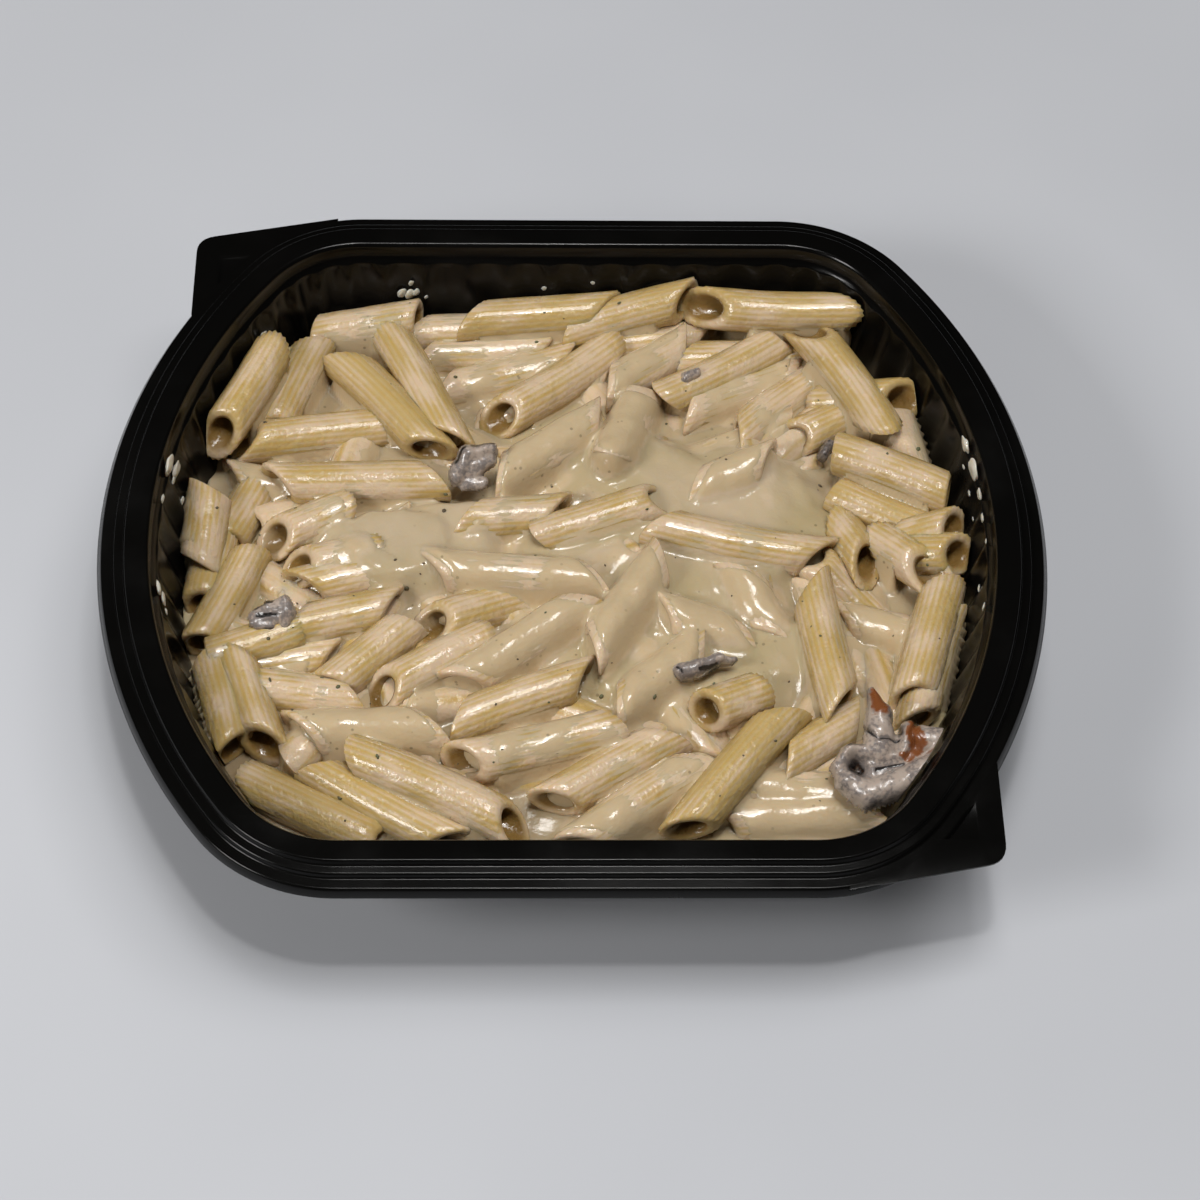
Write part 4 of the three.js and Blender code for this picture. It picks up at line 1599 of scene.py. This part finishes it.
BROWNED = MushroomForm(
    "mushroom_browned", (73.2, -60.5, 29.5), 0.0, 14.0,
    lobes=(
        Stroke(-10.4, -5.4, -6.0, -8.8, 3.3, 3.5, 0.4, 0.8),
        Stroke(-6.0, -8.8, 2.0, -6.4, 3.5, 3.3, 0.8, 2.0),
        Stroke(2.0, -6.4, 9.6, -2.2, 3.3, 3.0, 2.0, 2.6),
        Stroke(9.6, -2.2, 11.6, 2.4, 3.0, 2.4, 2.6, 2.0),
        Stroke(7.2, 4.8, 10.6, 3.8, 3.1, 2.9, 0.6, 1.2),
        Stroke(-3.2, 2.6, -2.6, 10.5, 3.8, 2.7, 0.4, 0.8),
        Stroke(-2.6, 10.5, -4.4, 16.4, 2.7, 0.8, 0.8, 0.6),
        Stroke(3.6, 7.6, 3.2, 3.4, 1.0, 1.2, 2.2, 2.4),
        Stroke(3.2, 3.4, 1.2, 0.0, 1.2, 1.0, 2.4, 1.9),
        Stroke(1.2, 0.0, -3.6, -0.6, 1.0, 0.9, 1.9, 1.7),
        Stroke(-12.2, -2.6, -9.8, 1.4, 1.8, 1.6, 1.6, 2.2),
        Stroke(-9.8, 1.4, -5.0, 1.0, 1.6, 1.5, 2.2, 1.6),
        Stroke(-7.0, -2.5, 5.0, -1.0, 5.0, 4.5, -3.4, -2.6),
        Stroke(-4.0, 2.0, 5.0, 3.0, 4.0, 4.0, -2.6, -2.6),
    ),
    creases=(
        Stroke(-9.4, -2.0, -8.2, -3.0, 2.2, 1.8, 3.8),
        Stroke(-8.0, 8.2, -4.6, 4.6, 0.45, 0.4, 0.8),
        Stroke(-6.6, 7.4, -3.8, 3.8, 0.4, 0.4, 0.8),
        Stroke(-3.2, 3.4, 1.6, 3.8, 0.5, 0.4, 0.9),
        Stroke(-11.0, 2.6, -7.0, 2.6, 0.5, 0.4, 0.6),
        Stroke(1.6, 8.0, 2.2, 5.0, 0.9, 0.6, 0.8),
        Stroke(-4.0, -3.0, 2.0, -2.0, 0.6, 0.5, 0.5),
        Stroke(12.6, -0.5, 13.2, 3.0, 0.4, 0.4, 0.2),
    ),
    browned=(
        Stroke(-3.6, 15.0, -2.6, 11.0, 1.8, 2.0),
        Stroke(4.4, 8.2, 5.2, 4.0, 1.3, 2.0),
        Stroke(5.2, 4.0, 5.0, 1.2, 2.0, 1.6),
        Stroke(3.0, -0.6, 1.4, 0.0, 1.2, 0.8),
        Stroke(8.2, 0.6, 9.6, -0.4, 0.7, 0.6),
    ),
)
BACK = MushroomForm(
    "mushroom_slice_back", (-24.2, 24.0, 29.6), 0.0, 32.0,
    lobes=(
        Stroke(-4.2, -1.6, -1.6, 3.4, 2.2, 2.0, 0.2, 0.6),
        Stroke(-1.6, 3.4, 4.6, 4.8, 2.0, 1.3, 0.6, 0.6),
        Stroke(-1.0, 0.2, 3.2, 2.6, 3.2, 2.4, -1.3, -0.8),
        Stroke(-2.0, -3.6, 2.0, -3.4, 1.7, 1.4, -0.6, -0.4),
    ),
    creases=(Stroke(-4.6, 1.4, -2.0, 5.2, 0.4, 0.4, 0.4), Stroke(-0.5, 5.6, 5.0, 6.0, 0.4, 0.4, 0.3)),
    shade=0.35,
)
LEFT = MushroomForm(
    "mushroom_left", (-71.6, -19.0, 27.2), 6.0, 28.0,
    lobes=(
        Stroke(-3.2, 0.0, 2.6, 0.8, 2.7, 3.0, -1.2, -0.9),
        Stroke(-0.5, 2.6, 3.4, 2.8, 1.1, 1.3, 0.6, 0.9),
        Stroke(-4.6, -1.2, -1.0, -2.4, 1.1, 1.1, 0.4, 0.3),
        Stroke(2.6, -2.0, 3.4, 2.0, 1.3, 1.4, 0.0, 0.4),
    ),
    creases=(
        Stroke(-4.4, 2.4, 0.0, 3.8, 0.6, 0.5, 0.4),
        Stroke(-3.6, 0.6, 0.6, 0.2, 0.5, 0.4, 0.4),
        Stroke(-2.0, -3.4, 2.0, -3.6, 0.7, 0.5, 0.3),
    ),
    shade=0.7,
)
STRIP = MushroomForm(
    "mushroom_strip", (30.4, -33.6, 28.4), 8.0, 10.0,
    lobes=(
        Stroke(-5.6, -0.9, -1.5, -0.4, 2.0, 1.9, -0.1, 0.0),
        Stroke(-1.5, -0.4, 4.0, 1.3, 1.8, 1.2, 0.0, -0.2),
        Stroke(4.0, 1.3, 7.6, 1.0, 1.1, 0.8, -0.4, -0.7),
    ),
    creases=(Stroke(-6.4, -0.4, -5.4, -1.8, 0.5, 0.4, 0.3), Stroke(-1.0, -1.6, 3.0, -0.4, 0.5, 0.4, 0.3)),
    shade=0.55,
)
PALE_BIT = MushroomForm(
    "mushroom_bit_back", (30.5, 56.4, 27.0), 20.0, 20.0,
    lobes=(Stroke(-1.2, 0.0, 1.3, 0.5, 1.5, 1.3, -0.4, -0.6),), shade=0.1, in_cad=False,
)
DARK_BIT = MushroomForm(
    "mushroom_bit_right", (64.0, 35.4, 23.6), 70.0, 22.0,
    lobes=(Stroke(-1.4, 0.2, 1.5, -0.4, 1.2, 1.4, -0.3, -0.2),), shade=1.4, in_cad=False,
)


@dataclass
class Mushrooms:
    """The pieces of cooked mushroom: four in the place of a CAD node and two small bits."""

    tray: Tray
    forms: tuple[MushroomForm, ...] = (BROWNED, BACK, LEFT, STRIP, PALE_BIT, DARK_BIT)
    spacing: float = 0.35
    waver: float = 0.7  # how far the lobes' edges wander
    fillet: float = 0.45  # between two lobes
    pimples: float = 0.28
    wall_gap: float = 0.8
    finish: MushroomFlesh = MushroomFlesh()

    def build(self) -> list[bpy.types.Object]:
        """Builds every piece."""
        flesh = self.finish.material()
        return [self._piece(form, flesh) for form in self.forms]

    def _piece(self, form: MushroomForm, flesh: bpy.types.Material) -> bpy.types.Object:
        """Builds one piece and lays it on the food.

        Args:
            form: The piece's shape and place.
            flesh: Its finish.

        Returns:
            The object.
        """
        piece = Workpiece(form.node + "_flesh")
        bm = piece.bm
        reach = 4 + max(max(abs(v) for v in (s.x0, s.y0, s.x1, s.y1)) for s in form.lobes)
        cells = round(2 * reach / self.spacing)
        bmesh.ops.create_grid(bm, x_segments=cells, y_segments=cells, size=reach)
        own = bm.verts.layers.float_vector.new("own")
        brown, painted_shade = piece.number("brown"), piece.number("painted_shade")
        verts = list(bm.verts)
        x = np.array([v.co.x + self.waver * lump(v.co.x, v.co.y, 3.0, 3.5) for v in verts])
        y = np.array([v.co.y + self.waver * lump(v.co.x, v.co.y, 9.0, 3.5) for v in verts])
        height = form.lobes[0].height(x, y)
        for lobe in form.lobes[1:]:
            height = smooth_max(height, lobe.height(x, y), self.fillet)
        shadow = np.zeros(x.shape)
        for crease in form.creases:
            strength = crease.stain_and_shade(x, y)
            height = height - crease.z0 * strength
            shadow = np.maximum(shadow, strength)
        toast = sum((s.stain_and_shade(x, y) for s in form.browned), np.zeros(x.shape))
        for vert, z, crease_shade, spot in zip(verts, height, shadow, toast):
            vert.co.z = z + self.pimples * lump(vert.co.x, vert.co.y, 20.0, 1.8)
            vert[own] = vert.co.copy()
            vert[brown] = min(1.0, spot)
            # painted shade: the creases, plus the whole piece's shade
            vert[painted_shade] = min(1.0, crease_shade + form.shade * 0.5)
        bmesh.ops.delete(bm, geom=[v for v in verts if v.co.z < form.base], context="VERTS")
        bmesh.ops.delete(bm, geom=[v for v in bm.verts if not v.link_faces], context="VERTS")
        rim = [e for e in bm.edges if e.is_boundary]
        made = bmesh.ops.extrude_edge_only(bm, edges=rim)["geom"]
        for vert in (g for g in made if isinstance(g, bmesh.types.BMVert)):
            vert.co = Vector((vert.co.x * 0.9, vert.co.y * 0.9, form.base - 1.6))
        bmesh.ops.holes_fill(bm, edges=[g for g in made if isinstance(g, bmesh.types.BMEdge)])
        lean = Matrix.Rotation(math.radians(form.lean), 3, "X")
        turn = Matrix.Rotation(math.radians(form.turn), 3, "Z")
        bmesh.ops.rotate(bm, verts=bm.verts, cent=(0, 0, 0), matrix=turn @ lean)
        bmesh.ops.translate(bm, verts=bm.verts, vec=form.place)
        self.tray.press_inside(bm.verts, self.wall_gap)
        nodes = [form.node] if form.in_cad else []
        return piece.finish(flesh, Slot.MUSHROOM, nodes, fix_normals=True)


# ---- small things on the food -------------------------------------------------------------------


@dataclass
class Flecks:
    """Small dark bits of herb and pepper that lie on the food."""

    count: int = 110
    seed: int = 5
    smallest: float = 0.28
    spread: float = 0.5
    thickness: float = 0.32
    margin: float = 20.0  # from the tray's outline
    steepest: float = 0.35  # the least that the surface under a fleck faces upwards
    finish: Herb = Herb()

    def build(self, ground: BVHTree, tray: Tray) -> bpy.types.Object:
        """Scatters the flecks over the food.

        Args:
            ground: The food's surface, in millimetres.
            tray: The tray, which says where the food ends.

        Returns:
            The object.
        """
        chance = random.Random(self.seed)
        piece = Workpiece("herb_flecks")
        bm = piece.bm
        made = 0
        while made < self.count:
            x, y = chance.uniform(-98, 98), chance.uniform(-86, 86)
            if tray.inset_of(x, y) < self.margin:
                continue
            hit, normal, _, _ = ground.ray_cast(Vector((x, y, 60)), Vector((0, 0, -1)))
            if hit is None or normal.z < self.steepest:
                continue
            size = self.smallest + self.spread * chance.random() ** 3
            fleck = bmesh.ops.create_icosphere(bm, subdivisions=1, radius=size)["verts"]
            bmesh.ops.scale(bm, vec=(1, chance.uniform(0.45, 0.9), self.thickness), verts=fleck)
            spin = Matrix.Rotation(chance.uniform(0, math.pi), 3, "Z")
            lean = Vector((0, 0, 1)).rotation_difference(normal).to_matrix()
            bmesh.ops.rotate(bm, verts=fleck, cent=(0, 0, 0), matrix=lean @ spin)
            bmesh.ops.translate(bm, verts=fleck, vec=hit + normal * 0.05)
            made += 1
        return piece.finish(self.finish.material(), Slot.SAUCE)


@dataclass
class Splashes:
    """Drops and smears of sauce on the tray's wall and rim."""

    tray: Tray
    places: tuple[tuple[float, float, float, float], ...] = (
        # along X, along Y, height and size: at the left end, along the back and at the right end
        (-98.4, 18.8, 37.0, 1.9), (-97.0, 20.6, 33.0, 1.6), (-97.4, 17.2, 33.0, 0.8),
        (-100.0, 9.0, 36.5, 0.8), (-95.9, 16.4, 26.0, 0.9), (-98.6, -17.6, 36.5, 1.4),
        (-97.5, -18.6, 33.5, 1.3), (-97.6, -21.5, 32.0, 0.7),
        (-43.6, 84.7, 26.2, 1.0), (-41.6, 84.6, 25.8, 1.2), (-39.9, 84.5, 26.4, 0.9),
        (-41.0, 84.9, 29.3, 0.6), (-37.2, 84.3, 25.0, 0.5), (-6.8, 84.8, 27.8, 0.55),
        (5.8, 85.4, 29.5, 0.5), (-78.5, 67.6, 29.5, 0.7),
        (97.3, 26.5, 36.6, 1.5), (98.4, 18.8, 36.4, 1.9), (96.2, 22.5, 32.5, 0.5),
        (98.9, 11.2, 36.3, 1.1), (96.8, 15.0, 31.5, 0.6), (99.4, 4.6, 35.5, 0.8),
        (97.5, 8.0, 30.5, 0.4), (99.6, -3.0, 36.0, 0.5), (98.5, -22.0, 35.0, 0.7),
        (97.8, -13.0, 30.5, 0.7),
    )
    spread: float = 1.25  # the radius of a drop, as a share of its size
    thickness: float = 0.32
    unevenness: float = 0.35
    finish: CreamSauce = CreamSauce("dried_cream", (0.6, 0.56, 0.48), (0.5, 0.47, 0.4), (0.58, 0.54, 0.46))

    def build(self) -> bpy.types.Object:
        """Builds the splashes as flat drops pressed on the wall.

        Returns:
            The object.
        """
        piece = Workpiece("sauce_splashes")
        bm = piece.bm
        for index, (x, y, z, size) in enumerate(self.places):
            at = Vector((x, y, z))
            for _ in range(4):
                gap = self.tray.inset_of(at.x, at.y) - self.tray.inset_at_wall(z)
                at += outwards(at) * gap
            inward = -outwards(at)
            at += inward * self.tray.flute_depth * 0.4
            drop = bmesh.ops.create_icosphere(bm, subdivisions=3, radius=size * self.spread)["verts"]
            for vert in drop:
                vert.co *= 1 + self.unevenness * lump(vert.co.x + index * 5, vert.co.y, vert.co.z, size)
            bmesh.ops.scale(bm, vec=(1, 1.15, self.thickness), verts=drop)
            lean = Vector((0, 0, 1)).rotation_difference(inward).to_matrix()
            bmesh.ops.rotate(bm, verts=drop, cent=(0, 0, 0), matrix=lean)
            bmesh.ops.translate(bm, verts=drop, vec=at)
        return piece.finish(self.finish.material(), Slot.SAUCE)


# ---- the room -----------------------------------------------------------------------------------


@dataclass(frozen=True)
class Lamp:
    """A soft rectangular lamp that faces the food."""

    name: str
    place: Triple  # in metres
    size: tuple[float, float]
    power: float
    tint: Colour
    mirrored: bool = True  # whether glossy things show it

    def build(self) -> None:
        """Hangs the lamp."""
        light = bpy.data.lights.new(self.name, "AREA")
        light.shape = "RECTANGLE"
        light.size, light.size_y = self.size
        light.energy = self.power
        light.color = self.tint
        lamp = bpy.data.objects.new(self.name, light)
        lamp.location = self.place
        lamp.rotation_euler = (Vector((0, 0, 0.02)) - Vector(self.place)).to_track_quat("-Z", "Y").to_euler()
        lamp.visible_glossy = self.mirrored
        bpy.context.scene.collection.objects.link(lamp)


@dataclass
class Studio:
    """The table, the light and the camera."""

    camera_place: Triple = (-12.5, -434.1, 610.0)
    target: Triple = (5.9, -23.4, 40.0)
    roll: float = 2.17
    lens: float = 90.0

    def build(self) -> None:
        """Builds the table, the lamps and the camera."""
        self._table()
        self._world()
        window = Lamp("window", (-0.8, -0.45, 0.7), (0.32, 0.32), 6.2, (1.0, 0.985, 0.965))
        ceiling = Lamp("ceiling", (0.06, 0.0, 1.4), (0.42, 0.36), 6.4, (1.0, 0.99, 0.98))
        spot = Lamp("spot", (0.02, -0.2, 1.3), (0.07, 0.06), 2.4, (1.0, 0.98, 0.95))
        room = Lamp("room", (0.75, 0.35, 2.1), (1.0, 1.0), 13.0, (1.0, 0.99, 0.975), False)
        for lamp in (window, ceiling, spot, room):
            lamp.build()
        self._camera()

    def _table(self) -> None:
        """A large flat table under the tray."""
        bm = bmesh.new()
        bmesh.ops.create_grid(bm, x_segments=8, y_segments=8, size=1.6)
        mesh = bpy.data.meshes.new("table")
        bm.to_mesh(mesh)
        bm.free()
        mesh.materials.append(Tabletop().material())
        table = bpy.data.objects.new("table", mesh)
        bpy.context.scene.collection.objects.link(table)

    def _world(self) -> None:
        """Even grey light from all round."""
        world = bpy.data.worlds.new("room")
        world.use_nodes = True
        backdrop = world.node_tree.nodes["Background"]
        backdrop.inputs["Color"].default_value = (1.0, 0.985, 0.96, 1.0)
        backdrop.inputs["Strength"].default_value = 0.08
        world.cycles_visibility.glossy = False
        bpy.context.scene.world = world
        bpy.context.scene.view_settings.view_transform = "Standard"

    def _camera(self) -> None:
        """The camera above the front of the tray."""
        data = bpy.data.cameras.new("camera")
        data.lens = self.lens
        data.sensor_width = 36.0
        data.clip_start, data.clip_end = 0.01, 10.0
        camera = bpy.data.objects.new("camera", data)
        place, target = Vector(self.camera_place) * MM, Vector(self.target) * MM
        look = (target - place).to_track_quat("-Z", "Y").to_matrix()
        turn = Matrix.Rotation(math.radians(self.roll), 3, "Z")
        camera.matrix_world = Matrix.Translation(place) @ (look @ turn).to_4x4()
        bpy.context.scene.collection.objects.link(camera)
        bpy.context.scene.camera = camera


def food_surface(pieces: Sequence[bpy.types.Object]) -> BVHTree:
    """The surface of several pieces, for things that lie on them.

    Args:
        pieces: The objects.

    Returns:
        Their faces as one tree, in millimetres.
    """
    verts: list[Vector] = []
    polygons: list[list[int]] = []
    for piece in pieces:
        start = len(verts)
        verts.extend(v.co / MM for v in piece.data.vertices)
        polygons.extend([start + i for i in p.vertices] for p in piece.data.polygons)
    return BVHTree.FromPolygons(verts, polygons)


def main() -> None:
    """Builds the object and the room."""
    logging.basicConfig(level=logging.INFO, format="%(name)s %(message)s")
    Studio().build()
    tray = Tray()
    pieces = [tray.build()]
    pile = Pile(tray)
    top = [pile.settle(p) for p in TOP_LAYER]
    below = Underlayer(pile).lying()
    food = [
        pile.build("penne", top, True, ["pasta_heap"]),
        pile.build("penne_below", below, False),
        Sauce(pile).build(top + below),
    ]
    pieces += [*food, *Mushrooms(tray).build()]
    pieces += [Flecks().build(food_surface(food), tray), Splashes(tray).build()]
    for piece in pieces:
        log.info("%s: %d triangles", piece.name, sum(len(p.vertices) - 2 for p in piece.data.polygons))


if __name__ == "__main__":
    main()
